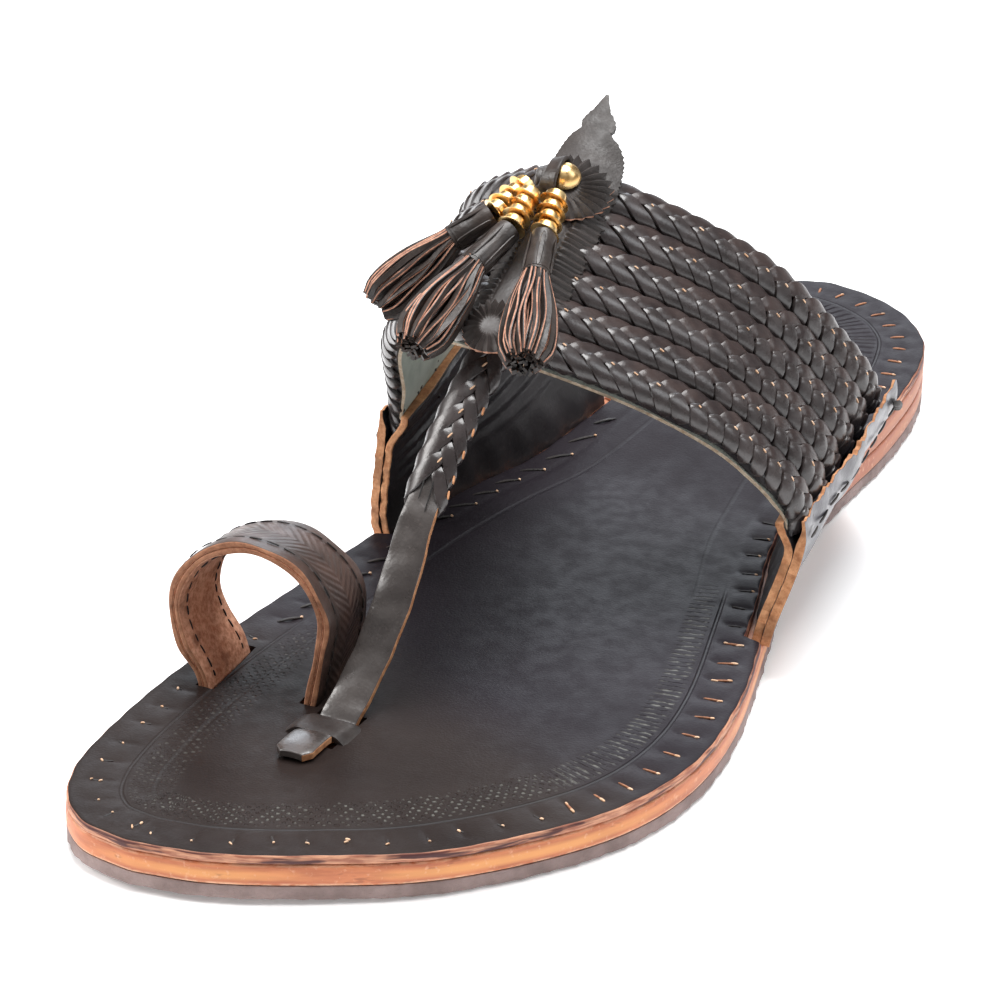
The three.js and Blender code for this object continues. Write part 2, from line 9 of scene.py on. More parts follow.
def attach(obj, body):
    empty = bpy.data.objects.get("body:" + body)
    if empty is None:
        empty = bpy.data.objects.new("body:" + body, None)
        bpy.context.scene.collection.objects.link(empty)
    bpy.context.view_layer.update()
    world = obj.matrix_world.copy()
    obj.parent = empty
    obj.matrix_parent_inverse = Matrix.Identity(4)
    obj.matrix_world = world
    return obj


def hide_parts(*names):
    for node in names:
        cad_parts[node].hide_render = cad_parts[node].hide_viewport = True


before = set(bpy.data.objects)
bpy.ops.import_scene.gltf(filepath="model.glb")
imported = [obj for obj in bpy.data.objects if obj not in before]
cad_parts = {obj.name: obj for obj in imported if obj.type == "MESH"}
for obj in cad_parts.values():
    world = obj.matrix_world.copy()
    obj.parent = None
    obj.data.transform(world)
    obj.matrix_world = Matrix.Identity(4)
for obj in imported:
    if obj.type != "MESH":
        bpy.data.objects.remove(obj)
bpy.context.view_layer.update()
rng = random.Random(11)
vary = rng.uniform

# Sizes in millimetres, the same as the construction's
MM = 0.001
LENGTH, BALL_WIDTH, INSTEP_HEIGHT = 280.0, 98.0, 85.0
HEEL_RAISE, GAP, TOE_SPRING = 4.1, 0.3, 0.8
OUTSOLE_THICK, MIDSOLE_THICK, INSOLE_THICK = 2.4, 3.9, 1.8
MIDSOLE_BASE = OUTSOLE_THICK + GAP
INSOLE_BASE = MIDSOLE_BASE + MIDSOLE_THICK + GAP
INSOLE_TOP = INSOLE_BASE + INSOLE_THICK
# How far a layer of the sole is lowered to meet the one under it
SEAT = 0.02

# Outline of the sole: along, lateral edge, medial edge, as shares
OUTLINE = np.array([
    (-0.5, -0.47, -0.5), (-0.493, -0.25, -0.69), (-0.482, -0.09, -0.78), (-0.464, 0.1, -0.865),
    (-0.429, 0.404, -0.945), (-0.393, 0.61, -0.98), (-0.357, 0.768, -0.997), (-0.321, 0.888, -1.0),
    (-0.286, 0.96, -0.998), (-0.25, 0.995, -0.993), (-0.214, 1.0, -0.981), (-0.179, 0.981, -0.965),
    (-0.143, 0.945, -0.947), (-0.107, 0.896, -0.928), (-0.071, 0.841, -0.912), (0.0, 0.731, -0.873),
    (0.071, 0.61, -0.8), (0.143, 0.541, -0.69), (0.214, 0.528, -0.618), (0.286, 0.53, -0.606),
    (0.357, 0.496, -0.59), (0.393, 0.455, -0.569), (0.429, 0.382, -0.533), (0.464, 0.23, -0.467),
    (0.482, 0.09, -0.41), (0.493, -0.04, -0.34), (0.5, -0.2, -0.24)])

# Arch of the upper from the lateral to the medial flap: across, along, up at its front and rear edge
ARCH = np.array([
    ((0.894, -0.041, 0.365), (0.786, 0.146, 0.447)),
    ((0.735, -0.055, 0.506), (0.663, 0.13, 0.582)),
    ((0.449, -0.082, 0.629), (0.388, 0.091, 0.788)),
    ((-0.163, -0.132, 0.776), (-0.224, 0.025, 0.994)),
    ((-0.571, -0.107, 0.735), (-0.551, 0.046, 0.929)),
    ((-0.806, -0.064, 0.6), (-0.847, 0.086, 0.776)),
    ((-0.878, -0.029, 0.388), (-0.898, 0.136, 0.518))])
ARCH_UNIT = np.array([BALL_WIDTH / 2, LENGTH, INSTEP_HEIGHT])
SIDES = {"lateral": 1.0, "medial": -1.0}
FLAP_FOOT = {"lateral": (-16.0, 58.0), "medial": (-9.0, 60.0)}
FLAP_INSET, HEM_RISE, HEM_LEAN = 0.8, 4.0, 0.9


# Arithmetic of places and directions
def ramp(low, high, value):
    x = np.clip((np.asarray(value, float) - low) / (high - low), 0, 1)
    return x * x * (3 - 2 * x)


def lerp(a, b, x):
    return a + (b - a) * x


def bell(x, width):
    return np.exp(-(x / width) ** 2)


def unit(v):
    return v / np.maximum(np.linalg.norm(v, axis=-1, keepdims=True), 1e-9)


def directions(path):
    return unit(np.gradient(path, axis=0))


def facing(v, other):
    """The vectors v, turned round where they point away from other."""
    return v * np.sign((v * other).sum(-1, keepdims=True))


def travelled(points):
    """Distance along a line of points from its first."""
    return np.r_[0, np.cumsum(np.linalg.norm(np.diff(points, axis=0), axis=1))]


def read(at, places, table):
    """The table's rows at places between those that it was made for."""
    return np.stack([np.interp(at, places, column) for column in np.transpose(table)], -1)


def turns(steps):
    return np.arange(steps) * 2 * math.pi / steps


def spline(keys, t):
    """Centripetal Catmull-Rom through keys (..., n, d) at t from 0 to 1, shape (...)."""
    keys, t = np.asarray(keys, float), np.asarray(t, float)
    n = keys.shape[-2]
    if keys.ndim == 2:
        keys = np.broadcast_to(keys, t.shape + keys.shape)
    first = 2 * keys[..., :1, :] - keys[..., 1:2, :]
    last = 2 * keys[..., -1:, :] - keys[..., -2:-1, :]
    padded = np.concatenate([first, keys, last], axis=-2)
    place = np.clip(t, 0, 1) * (n - 1)
    i = np.minimum(place.astype(int), n - 2)
    f = (place - i)[..., None]
    p = [np.take_along_axis(padded, (i + k)[..., None, None], axis=-2)[..., 0, :] for k in range(4)]
    d = [np.maximum(((p[k + 1] - p[k]) ** 2).sum(-1, keepdims=True) ** 0.25, 1e-9) for k in range(3)]
    t1 = ((p[1] - p[0]) / d[0] - (p[2] - p[0]) / (d[0] + d[1]) + (p[2] - p[1]) / d[1]) * d[1]
    t2 = ((p[2] - p[1]) / d[1] - (p[3] - p[1]) / (d[1] + d[2]) + (p[3] - p[2]) / d[2]) * d[1]
    a = 2 * p[1] - 2 * p[2] + t1 + t2
    b = -3 * p[1] + 3 * p[2] - 2 * t1 - t2
    return ((a * f + b) * f + t1) * f + p[1]


# Surface of the upper
def outline_edge(column):
    points = np.c_[OUTLINE[:, 0] * LENGTH, OUTLINE[:, column] * BALL_WIDTH / 2]
    samples = spline(points, np.linspace(0, 1, len(points) * 12 + 1))
    return lambda y: np.interp(y, samples[:, 0], samples[:, 1])


edge = {"lateral": outline_edge(1), "medial": outline_edge(2)}


def raise_at(y):
    return HEEL_RAISE * ramp(28, 64, y)


def toe_spring(y):
    return TOE_SPRING * ramp(0, 28, -112 - y)


def insole_bottom(y):
    return INSOLE_BASE + raise_at(y) + toe_spring(y)


def arch_keys(w):
    w = np.asarray(w, float)[..., None]
    feet = []
    for side, sign in SIDES.items():
        y = lerp(*FLAP_FOOT[side], w)
        foot = np.stack([edge[side](y) - sign * FLAP_INSET, y, insole_bottom(y)], -1)
        feet += [foot, foot + [sign * HEM_LEAN, 0, HEM_RISE]]
    middle = lerp(ARCH[:, 0], ARCH[:, 1], w[..., None]) * ARCH_UNIT
    return np.concatenate([feet[0], feet[1], middle, feet[3], feet[2]], axis=-2)


def upper_point(t, w):
    t, w = np.broadcast_arrays(np.asarray(t, float), np.asarray(w, float))
    return spline(arch_keys(w), t)


def upper_offset(t, w, h, step=1e-3):
    """A place h mm outside the upper, t from the lateral to the medial foot, w from front to rear."""
    t, w, h = np.broadcast_arrays(*(np.asarray(v, float) for v in (t, w, h)))
    dt = upper_point(t + step, w) - upper_point(t - step, w)
    dw = upper_point(t, w + step) - upper_point(t, w - step)
    return upper_point(t, w) + unit(np.cross(dw, dt)) * h[..., None]


# Distance along the upper from its crown in millimetres, positive to the medial side
ARC_T, WIDTH_T = np.linspace(0, 1, 801), np.linspace(0, 1, 41)
ARC_S = travelled(upper_point(ARC_T, 0.5))
ARC_S -= np.interp(0.5, ARC_T, ARC_S)
WIDTH_MM = [travelled(upper_point(t, np.linspace(0, 1, 30)))[-1] for t in WIDTH_T]


def on_upper(s, w, c, h):
    """A place s mm from the crown, c mm beside the line w and h mm above the surface."""
    t = np.interp(s, ARC_S, ARC_T)
    return upper_offset(t, w + c / np.interp(t, WIDTH_T, WIDTH_MM), h)


# Cross-sections of strips, as shares of half the width and half the thickness
def oval(count, flat):
    c, s = np.cos(turns(count)), np.sin(turns(count))
    return np.c_[np.sign(c) * np.abs(c) ** flat, np.sign(s) * np.abs(s) ** flat]


STRIP = np.array([(-1, -0.5), (-0.88, -1), (-0.3, -1), (0.3, -1), (0.88, -1), (1, -0.5),
                  (1, 0.5), (0.88, 1), (0.3, 1), (-0.3, 1), (-0.88, 1), (-1, 0.5)])
STRIP_EDGES = (5, 11)
PLAIT_SECTION, PILL_SECTION = oval(12, 0.66), oval(8, 0.8)
PILL_PLACES = np.array([0, 0.08, 0.3, 0.5, 0.7, 0.92, 1.0])
PILL_SIZES = np.array([0.35, 0.8, 1, 1, 1, 0.8, 0.35])


# Meshes
def grid_faces(rows, cols, closed=False, start=0):
    faces = []
    for r in range(rows - 1):
        for c in range(cols if closed else cols - 1):
            a, b = start + r * cols + c, start + r * cols + (c + 1) % cols
            faces.append([a, b, b + cols, a + cols])
    return faces


def tube_faces(rows, cols):
    """Faces between stacked loops, then the face that closes the first loop and the last."""
    last = (rows - 1) * cols
    return grid_faces(rows, cols, True) + [list(range(cols))[::-1], list(range(last, last + cols))]


def in_scene(name, data):
    made = bpy.data.objects.new(name, data)
    bpy.context.scene.collection.objects.link(made)
    return made


def give(mesh, values):
    """Keeps named numbers of the vertices for the materials."""
    for key, numbers in values.items():
        mesh.attributes.new(key, "FLOAT", "POINT").data.foreach_set("value", np.ravel(numbers))


class Builder:
    """Collects vertices and faces of one piece."""

    def __init__(self):
        self.verts, self.faces, self.mats, self.count, self.values = [], [], [], 0, {}

    def add(self, verts, faces, mats=0, **values):
        """Values hold a number for each vertex, for a piece that is added in one go."""
        verts = np.asarray(verts, float).reshape(-1, 3)
        self.verts.append(verts)
        self.faces += [[i + self.count for i in f] for f in faces]
        self.mats += list(mats) if np.ndim(mats) else [mats] * len(faces)
        self.values.update(values)
        self.count += len(verts)
        return self

    def slab(self, top, bottom, mats=(0, 0, 1), rim_mat=None, **values):
        """A closed wall between two grids of points; mats are those of its top, bottom and edge.
        rim_mat gives the edge's material by row and column where it changes along the edge."""
        rows, cols = top.shape[:2]
        n = rows * cols
        up = grid_faces(rows, cols)
        down = [f[::-1] for f in grid_faces(rows, cols, start=n)]
        rim = [(0, c) for c in range(cols)] + [(r, cols - 1) for r in range(1, rows)]
        rim += [(rows - 1, c) for c in range(cols - 2, -1, -1)] + [(r, 0) for r in range(rows - 2, 0, -1)]
        ids = [r * cols + c for r, c in rim]
        side = [[a, a + n, b + n, b] for a, b in zip(ids, ids[1:] + ids[:1])]
        flags = [mats[0]] * len(up) + [mats[1]] * len(down)
        flags += [rim_mat(*at) if rim_mat else mats[2] for at in rim]
        both = {key: np.tile(np.ravel(v), 2) for key, v in values.items()}
        return self.add(np.concatenate([top, bottom]), up + down + side, flags, **both)

    def sweep(self, path, across, up, half_wide, half_thick, section, mat=0, edges=()):
        """A closed strip along path; across and up are unit vectors, edges the faces with material 1."""
        n, m = len(path), len(section)
        wide, thick = (np.broadcast_to(v, n)[:, None, None] for v in (half_wide, half_thick))
        across, up = (np.broadcast_to(v, path.shape)[:, None] for v in (across, up))
        faces = tube_faces(n, m)
        return self.add(path[:, None] + across * section[:, :1] * wide + up * section[:, 1:] * thick, faces,
                        [1 if k % m in edges else mat for k in range(len(faces))])

    def pill(self, start, end, up, half_wide, half_thick, mat=0, rise=0.0):
        """A small rounded stitch from start to end, with its ends tapered and sunk."""
        start, end, up = (np.asarray(v, float) for v in (start, end, up))
        path = start + (end - start) * PILL_PLACES[:, None]
        path = path + up * (rise * np.sin(math.pi * PILL_PLACES))[:, None]
        along = unit(end - start)
        across = unit(np.cross(up, along))
        self.sweep(path, across, np.cross(along, across), half_wide * PILL_SIZES, half_thick * PILL_SIZES,
                   PILL_SECTION, mat)

    def done(self, name, materials, slot, replaces=(), sharp=40, bevel=None):
        mesh = bpy.data.meshes.new(name)
        mesh.from_pydata((np.concatenate(self.verts) * MM).tolist(), [], self.faces)
        for material in materials:
            mesh.materials.append(material)
        mesh.polygons.foreach_set("material_index", self.mats)
        mesh.polygons.foreach_set("use_smooth", [True] * len(self.faces))
        give(mesh, self.values)
        mesh.update()
        mesh.set_sharp_from_angle(angle=math.radians(sharp))
        piece = in_scene(name, mesh)
        if bevel:
            mod = piece.modifiers.new("bevel", "BEVEL")
            mod.width, mod.segments, mod.limit_method = bevel * MM, 2, "ANGLE"
            mod.angle_limit = math.radians(50)
        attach(piece, "root")
        if replaces:
            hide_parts(*replaces)
        return piece


# Materials
class Value:
    """What a node of a material gives, ready for arithmetic."""

    def __init__(self, nodes, socket):
        self.nodes, self.socket = nodes, socket

    def __add__(self, other):
        return self.nodes.math("ADD", self, other)

    def __sub__(self, other):
        return self.nodes.math("SUBTRACT", self, other)

    def __mul__(self, other):
        return self.nodes.math("MULTIPLY", self, other)

    def __abs__(self):
        return self.nodes.math("ABSOLUTE", self)


class Nodes:
    """A node material under construction, with short calls for the nodes it needs."""

    def __init__(self, name):
        self.material = bpy.data.materials.new(name)
        self.material.use_nodes = True
        self.tree = self.material.node_tree
        self.place = self.node("TexCoord", {}, "Object")

    def node(self, kind, inputs, output=0, **settings):
        made = self.tree.nodes.new("ShaderNode" + kind)
        for key, value in settings.items():
            setattr(made, key, value)
        for key, value in inputs.items():
            self.put(made.inputs[key], value)
        return Value(self, made.outputs[output])

    def put(self, socket, value):
        if isinstance(value, Value):
            self.tree.links.new(value.socket, socket)
        elif value is not None:
            socket.default_value = (*value, 1.0) if isinstance(value, tuple) else value

    def math(self, kind, *values):
        return self.node("Math", dict(enumerate(values)), operation=kind)

    def wave(self, kind, value, period):
        return self.math(kind, value * (2 * math.pi / period))

    def ramp(self, value, low, high, to_low=0.0, to_high=1.0):
        return self.node("MapRange", {"Value": value, "From Min": low, "From Max": high, "To Min": to_low,
                                      "To Max": to_high}, interpolation_type="SMOOTHSTEP")

    def noise(self, scale, detail=4.0, rough=0.55, place=None):
        return self.node("TexNoise", {"Vector": place or self.place, "Scale": scale, "Detail": detail,
                                      "Roughness": rough})

    def streaks(self, x, y, z=0.0, detail=4.0, rough=0.7):
        return self.noise(1.0, detail, rough, self.vector(x, y, z))

    def voronoi(self, scale):
        return self.node("TexVoronoi", {"Vector": self.place, "Scale": scale}, "Distance")

    def value(self, name):
        return self.node("Attribute", {}, "Fac", attribute_name=name)

    def vector(self, x, y, z=0.0):
        return self.node("CombineXYZ", {0: x, 1: y, 2: z})

    def mix(self, factor, a, b):
        return self.node("Mix", {0: factor, 6: a, 7: b}, 2, data_type="RGBA")

    def mottled(self, dark, light, scale, detail=4.0, rough=0.55, low=0.3, high=0.7):
        return self.mix(self.ramp(self.noise(scale, detail, rough), low, high), dark, light)

    def bump(self, height, strength, distance_mm, normal=None):
        return self.node("Bump", {"Strength": strength, "Distance": distance_mm * MM, "Height": height,
                                  "Normal": normal})

    def finish(self, color, rough, normal=None, **fixed):
        inputs = self.tree.nodes["Principled BSDF"].inputs
        for key, value in {"Base Color": color, "Roughness": rough, "Normal": normal, **fixed}.items():
            self.put(inputs[key.replace("_", " ")], value)
        return self.material


def leather(name, dark, light, rough, grain=1.0, spread=90.0, coat=0.0):
    n = Nodes(name)
    speck = n.ramp(n.noise(1300, 2.0), 0.62, 0.75)
    color = n.mottled(dark, light, spread, 5.0, low=0.32, high=0.68)
    color = n.mix(speck * 0.18, color, tuple(min(1, 3.2 * v) for v in light))
    normal = n.bump(n.voronoi(1500) + n.noise(3300, 3.0) * 0.8, 0.35 * grain, 0.12)
    normal = n.bump(n.noise(260, 3.0), 0.25 * grain, 0.35, normal)
    roughness = n.ramp(n.noise(420), 0.3, 0.7, rough - 0.07, rough + 0.09)
    return n.finish(color, roughness, normal, Coat_Weight=coat, Coat_Roughness=0.3)


def cut_edge(name, dark, light, rough=0.75, scale=700.0):
    n = Nodes(name)
    stain = n.ramp(n.noise(160, 3.0), 0.56, 0.68)
    color = n.mix(stain * 0.45, n.mottled(dark, light, scale, 6.0, 0.7), tuple(0.35 * v for v in dark))
    return n.finish(color, rough, n.bump(n.noise(1600), 0.6, 0.2))


mat_braid = leather("braid_leather", (0.021, 0.015, 0.0145), (0.047, 0.037, 0.036), 0.29, 0.6, 170, 0.55)
# A browner, less glossy copy of the braid leather for the rear strands: painted shade on the side of each
# plait that faces away from the light.
mat_braid_shaded_side = leather("braid_leather_painted_shade", (0.02, 0.012, 0.0115), (0.045, 0.029, 0.026), 0.36, 0.7, 170,
                          0.2)
mat_flap = leather("flap_leather", (0.014, 0.012, 0.013), (0.03, 0.026, 0.028), 0.36, 0.7, 60, 0.2)
# A paler, bluish copy of the flap leather for the lateral outer flap: painted sheen of the light reflected off
# it from the right.
mat_flap_sheen = leather("flap_leather_painted_sheen", (0.048, 0.045, 0.054), (0.095, 0.09, 0.105), 0.4, 0.7, 90, 0.25)
mat_plate = leather("plate_leather", (0.022, 0.017, 0.015), (0.045, 0.036, 0.033), 0.5, 0.9, 120)
mat_strap = leather("strap_leather", (0.035, 0.028, 0.026), (0.07, 0.06, 0.056), 0.3, 0.7, 110, 0.6)
mat_bridge = leather("bridge_leather", (0.015, 0.01, 0.009), (0.026, 0.019, 0.017), 0.5, 0.8, 110)
mat_tassel = leather("tassel_leather", (0.018, 0.013, 0.011), (0.045, 0.033, 0.028), 0.4, 0.9, 200, 0.05)
mat_thread = leather("thread", (0.008, 0.006, 0.006), (0.02, 0.014, 0.012), 0.55, 1.0, 300)
mat_slit = leather("slit_shadow", (0.004, 0.003, 0.003), (0.01, 0.008, 0.008), 0.7)
mat_tan = cut_edge("tan_edge", (0.36, 0.14, 0.055), (0.62, 0.31, 0.15))
mat_tan_dark = cut_edge("tan_edge_dark", (0.22, 0.085, 0.04), (0.42, 0.19, 0.1))
mat_rosette_rim = cut_edge("rosette_rim", (0.3, 0.12, 0.07), (0.6, 0.33, 0.22))
mat_fringe_edge = cut_edge("fringe_edge", (0.3, 0.12, 0.075), (0.62, 0.33, 0.22), 0.7)
mat_fleck = cut_edge("raw_fleck", (0.5, 0.27, 0.14), (0.85, 0.6, 0.42), 0.8)
mat_lining_edge = cut_edge("lining_edge", (0.28, 0.19, 0.12), (0.5, 0.42, 0.32), 0.8)
mat_suede = cut_edge("suede", (0.42, 0.17, 0.095), (0.78, 0.44, 0.29), 0.9, 900)


def lining_material():
    n = Nodes("lining_cloth")
    weave = n.node("TexWave", {"Vector": n.place, "Scale": 520.0}, 1) * 0.5
    color = n.mottled((0.33, 0.36, 0.31), (0.5, 0.53, 0.47), 110)
    return n.finish(color, 0.85, n.bump(weave + n.noise(900, 3.0), 0.5, 0.15))


def brass_material():
    n = Nodes("brass")
    color = n.mottled((0.78, 0.47, 0.17), (1.0, 0.76, 0.4), 350, 3.0, low=0.35)
    rough = n.ramp(n.noise(700, 3.0), 0.3, 0.7, 0.24, 0.4)
    return n.finish(color, rough, n.bump(n.noise(500, 3.0), 0.25, 0.15), Metallic=1.0)


def sole_edge_material(name, top_pale):
    """Burnished edge of stacked leather: streaks along it, pale worn rims, dark stains, and painted shade
    along the lateral side and round the heel.
    """
    n = Nodes(name)
    arc, height = n.value("arc"), n.value("height")
    streak = n.streaks(arc * 0.09, height * 2.6, rough=0.55)
    color = n.mix(n.ramp(streak, 0.3, 0.7), (0.42, 0.115, 0.05), (0.62, 0.21, 0.085))
    glow = n.ramp(height, 0.18, 0.42) * n.ramp(height, 0.82, 0.55)
    patch = n.ramp(n.streaks(arc * 0.022, 3.0, detail=2.0, rough=0.5), 0.35, 0.6)
    color = n.mix(glow * (patch * 0.75), color, (0.8, 0.37, 0.12))
    rim = n.math("MAXIMUM", n.ramp(height, 0.2, 0.04), n.ramp(height, 0.84, 0.97, 0.0, top_pale))
    worn = n.ramp(n.streaks(arc * 0.35, height * 4.0, 7.0), 0.35, 0.6)
    color = n.mix(rim * worn, color, (0.8, 0.5, 0.33))
    scar = n.ramp(n.streaks(arc * 0.12, height * 1.6, 2.0, 3.0), 0.6, 0.68)
    color = n.mix(scar * 0.45, color, (0.2, 0.05, 0.025))
    # Painted shade: the edge is darkened along the lateral side towards the heel and round the heel, which
    # face away from the key light.
    shade = n.ramp(arc, 105.0, 235.0) * n.ramp(arc, 420.0, 380.0)
    color = n.mix(shade * 0.62, color, (0.3, 0.1, 0.06))
    fine = n.noise(900, 3.0)
    color = n.mix(n.ramp(fine, 0.58, 0.74) * 0.3, color, (0.85, 0.56, 0.38))
    return n.finish(color, 0.5, n.bump(streak * 0.5 + fine * 0.5, 0.5, 0.25))


def insole_edge_material():
    """Cut edge of the insole: pinkish tan with dark red stains where the dye ran."""
    n = Nodes("insole_edge")
    arc, height = n.value("arc"), n.value("height")
    tone = n.ramp(n.streaks(arc * 0.2, height * 3.0, 0.0, 5.0, 0.6), 0.35, 0.65)
    stain = n.ramp(n.streaks(arc * 0.045, height * 0.8, 4.0, 3.0, 0.6), 0.46, 0.54)
    color = n.mix(tone, (0.3, 0.1, 0.055), (0.6, 0.3, 0.18))
    color = n.mix(stain * n.ramp(height, 1.0, 0.8, 0.3, 1.0), color, (0.06, 0.012, 0.012))
    return n.finish(color, 0.6, n.bump(n.noise(1200, 3.0), 0.5, 0.15))


def rubber_material():
    n = Nodes("outsole_rubber")
    color = n.mottled((0.2, 0.145, 0.135), (0.34, 0.255, 0.24), 120, 5.0)
    return n.finish(color, 0.8, n.bump(n.noise(1100, 4.0, 0.7) + n.voronoi(500) * 0.6, 0.8, 0.35))


# Distance from the insole's edge to the line scribed round it
LINE_RIM = 9.6


def insole_material():
    """Dark burnished insole: fine grain, a scribed line, a stamped border and worked heel."""
    n = Nodes("insole_leather")
    rim, arc, heel, stamp, toe = (n.value(key) for key in ("rim", "arc", "heel", "stamp", "toe"))
    tone = n.ramp(n.noise(28, 5.0), 0.3, 0.7)
    # Away from the toe the colour turns cool and bluish: the leather's own dark tone with a painted sheen of
    # bluish reflected light in it; towards the toe it stays warm.
    cool = n.mix(tone, (0.0118, 0.0088, 0.0118), (0.0188, 0.0148, 0.0192))
    warm = n.mix(tone, (0.0145, 0.0095, 0.0085), (0.025, 0.0175, 0.0155))
    rear = n.math("SUBTRACT", 1.0, toe) + (n.noise(16, 3.0) - 0.5) * 0.8
    color = n.mix(n.ramp(rear, 0.15, 0.85), warm, cool)
    normal = n.bump(n.voronoi(1900) + n.noise(3200, 2.0) * 0.7, 0.22, 0.1)
    normal = n.bump(n.noise(60), 0.1, 0.6, normal)
    line = n.ramp(abs(rim - LINE_RIM), 0.5, 0.1) * n.math("MAXIMUM", stamp, heel * 0.8)
    lattice = n.ramp(n.wave("COSINE", arc, 2.1) * n.wave("COSINE", rim, 2.2), 0.2, 0.85)
    comb = n.ramp(n.wave("COSINE", arc, 1.75), 0.1, 0.8)
    dot = n.mix(n.ramp(arc, 78.0, 96.0), n.vector(lattice, 0.0), n.vector(comb, 0.0))
    dot = n.node("SeparateXYZ", {"Vector": dot})
    inner = n.ramp(arc, 60.0, 150.0, 18.8, 15.4)
    band = n.ramp(rim, 10.6, 11.4) * n.ramp(rim - inner, 0.6, -1.0)
    dots = (dot * band) * (stamp * n.ramp(n.noise(260, 3.0), 0.25, 0.5))
    second = n.ramp(abs(rim - 15.2), 0.7, 0.1) * 0.35
    line = n.math("MAXIMUM", line, second * n.ramp(stamp, 0.9, 0.2))
    ribs = (n.wave("SINE", arc, 3.0) * n.ramp(rim, 10.0, 11.5)) * (heel * n.ramp(rim, 19.0, 16.0))
    normal = n.bump(ribs * 0.35 - (line * 0.6 + dots * 0.6), 0.9, 0.5, normal)
    fibre = n.ramp(n.noise(500, 3.0), 0.42, 0.62)
    color = n.mix(dots * (fibre * 0.55), color, (0.2, 0.2, 0.18))
    color = n.mix(line * 0.3, color, (0.09, 0.095, 0.1))
    return n.finish(color, n.ramp(n.noise(300), 0.3, 0.7, 0.4, 0.52), normal, Specular_IOR_Level=0.1)


def tooled_leather():
    """Reddish brown leather with a herringbone stamp between two stitch rows."""
    n = Nodes("tooled_leather")
    along, beside = n.value("along"), abs(n.value("wide"))
    chevron = n.wave("SINE", along + beside * 0.9, 1.9)
    border = n.ramp(abs(beside - 5.6), 0.7, 0.2)
    color = n.mottled((0.03, 0.016, 0.012), (0.075, 0.04, 0.03), 150, 5.0, low=0.32, high=0.68)
    color = n.mix(border * 0.6, color, (0.02, 0.01, 0.008))
    normal = n.bump(n.voronoi(1400) + n.noise(2600, 3.0), 0.3, 0.12)
    normal = n.bump((chevron * n.ramp(beside, 4.9, 4.2)) * 0.6 - border, 0.5, 0.2, normal)
    return n.finish(color, n.ramp(n.noise(400, 3.0), 0.3, 0.7, 0.36, 0.5), normal, Coat_Weight=0.15,
                    Coat_Roughness=0.3)


mat_lining, mat_brass, mat_rubber = lining_material(), brass_material(), rubber_material()
mat_midsole, mat_lift = sole_edge_material("midsole_edge", 0.5), sole_edge_material("lift_edge", 0.2)
mat_insole, mat_insole_edge, mat_tooled = insole_material(), insole_edge_material(), tooled_leather()


# Sole
SEAM_SHARE, SOLE_COUNT = 0.75, 480
DENSE_Y = -LENGTH / 2 * np.cos(np.linspace(0, math.pi, 700))
OUTLINE_SIDES = [np.c_[edge[side](DENSE_Y), DENSE_Y] for side in SIDES]
OUTLINE_LOOP = np.concatenate([OUTLINE_SIDES[0], OUTLINE_SIDES[1][::-1], OUTLINE_SIDES[0][:1]])
OUTLINE_S = travelled(OUTLINE_LOOP)
PERIMETER = OUTLINE_S[-1]


def outline_at(arc):
    """Points of the outline arc mm from the toe tip, positive round the lateral side, and their normals."""
    before, at, after, behind, ahead = (read(np.mod(arc + step, PERIMETER), OUTLINE_S, OUTLINE_LOOP)
                                        for step in (-1.2, 0.0, 1.2, -2.5, 2.5))
    d = ahead - behind
    return (before + 2 * at + after) / 4, unit(np.stack([d[..., 1], -d[..., 0]], -1))


def closed_outline(count):
    arc = PERIMETER * (SEAM_SHARE - 1 + np.arange(count) / count)
    return *outline_at(arc), arc


RIM_POINTS, _, RIM_ARC = closed_outline(1600)


def rim_values(q, chunk=4000):
    """Distance to the sole's edge and the arc of the nearest place on it."""
    distance, arc = [], []
    for start in range(0, len(q), chunk):
        squares = ((q[start:start + chunk, None] - RIM_POINTS) ** 2).sum(-1)
        distance.append(np.sqrt(squares.min(1)))
        arc.append(RIM_ARC[squares.argmin(1)])
    return np.concatenate(distance), np.concatenate(arc)


def middle_at(y):
    return (edge["lateral"](y) + edge["medial"](y)) / 2


def axis_point(p):
    """The point of the sole's middle line that a point of the outline is drawn to."""
    y = p[:, 1] * 0.8
    return np.c_[middle_at(y), y]


def capped(rows, count):
    """Faces like tube_faces, with quads from side to side that close the last of the stacked loops."""
    start, zero, half = (rows - 1) * count, count // 4, count // 2
    right = [start + (zero + k) % count for k in range(half + 1)]
    left = [start + (zero - k) % count for k in range(half + 1)]
    faces = tube_faces(rows, count)[:-1] + [[right[0], right[1], left[1]]]
    faces += [[right[k], right[k + 1], left[k + 1], left[k]] for k in range(1, half - 1)]
    return faces + [[right[half - 1], right[half], left[half - 1]]]


def sole_piece(name, material, slot, node, levels, top_z, bottom_z, low=-LENGTH, wobble=0.0):
    """A layer of the sole: levels are (inset, share of height) of the side's loops from bottom to top."""
    p, normal, arc = closed_outline(SOLE_COUNT)
    keep = p[:, 1] >= low
    p, normal, arc = p[keep], normal[keep], arc[keep]
    n = len(p)
    noise = np.sin(arc * 0.9) * np.sin(arc * 0.37 + 1) + 0.5 * np.sin(arc * 2.3)
    inner = [lerp(p, axis_point(p), share) for share in (0.1, 0.3, 0.6, 0.9)]
    rows = [(q, 0.0) for q in inner[::-1]]
    rows += [(p - normal * (inset + wobble * noise[:, None] * (1 - share)), share) for inset, share in levels]
    rows += [(q, 1.0) for q in inner]
    loops = [np.c_[q, lerp(bottom_z(q[:, 1]), top_z(q[:, 1]), share)] for q, share in rows]
    faces = tube_faces(len(rows), n) if n < SOLE_COUNT else capped(len(rows), n)
    height = np.repeat([share for _, share in rows], n)
    Builder().add(np.concatenate(loops), faces, 0, arc=np.tile(arc, len(rows)), height=height).done(
        name, [material], slot, [node], sharp=50)


def midsole_bottom(y):
    return MIDSOLE_BASE + raise_at(y) + toe_spring(y)


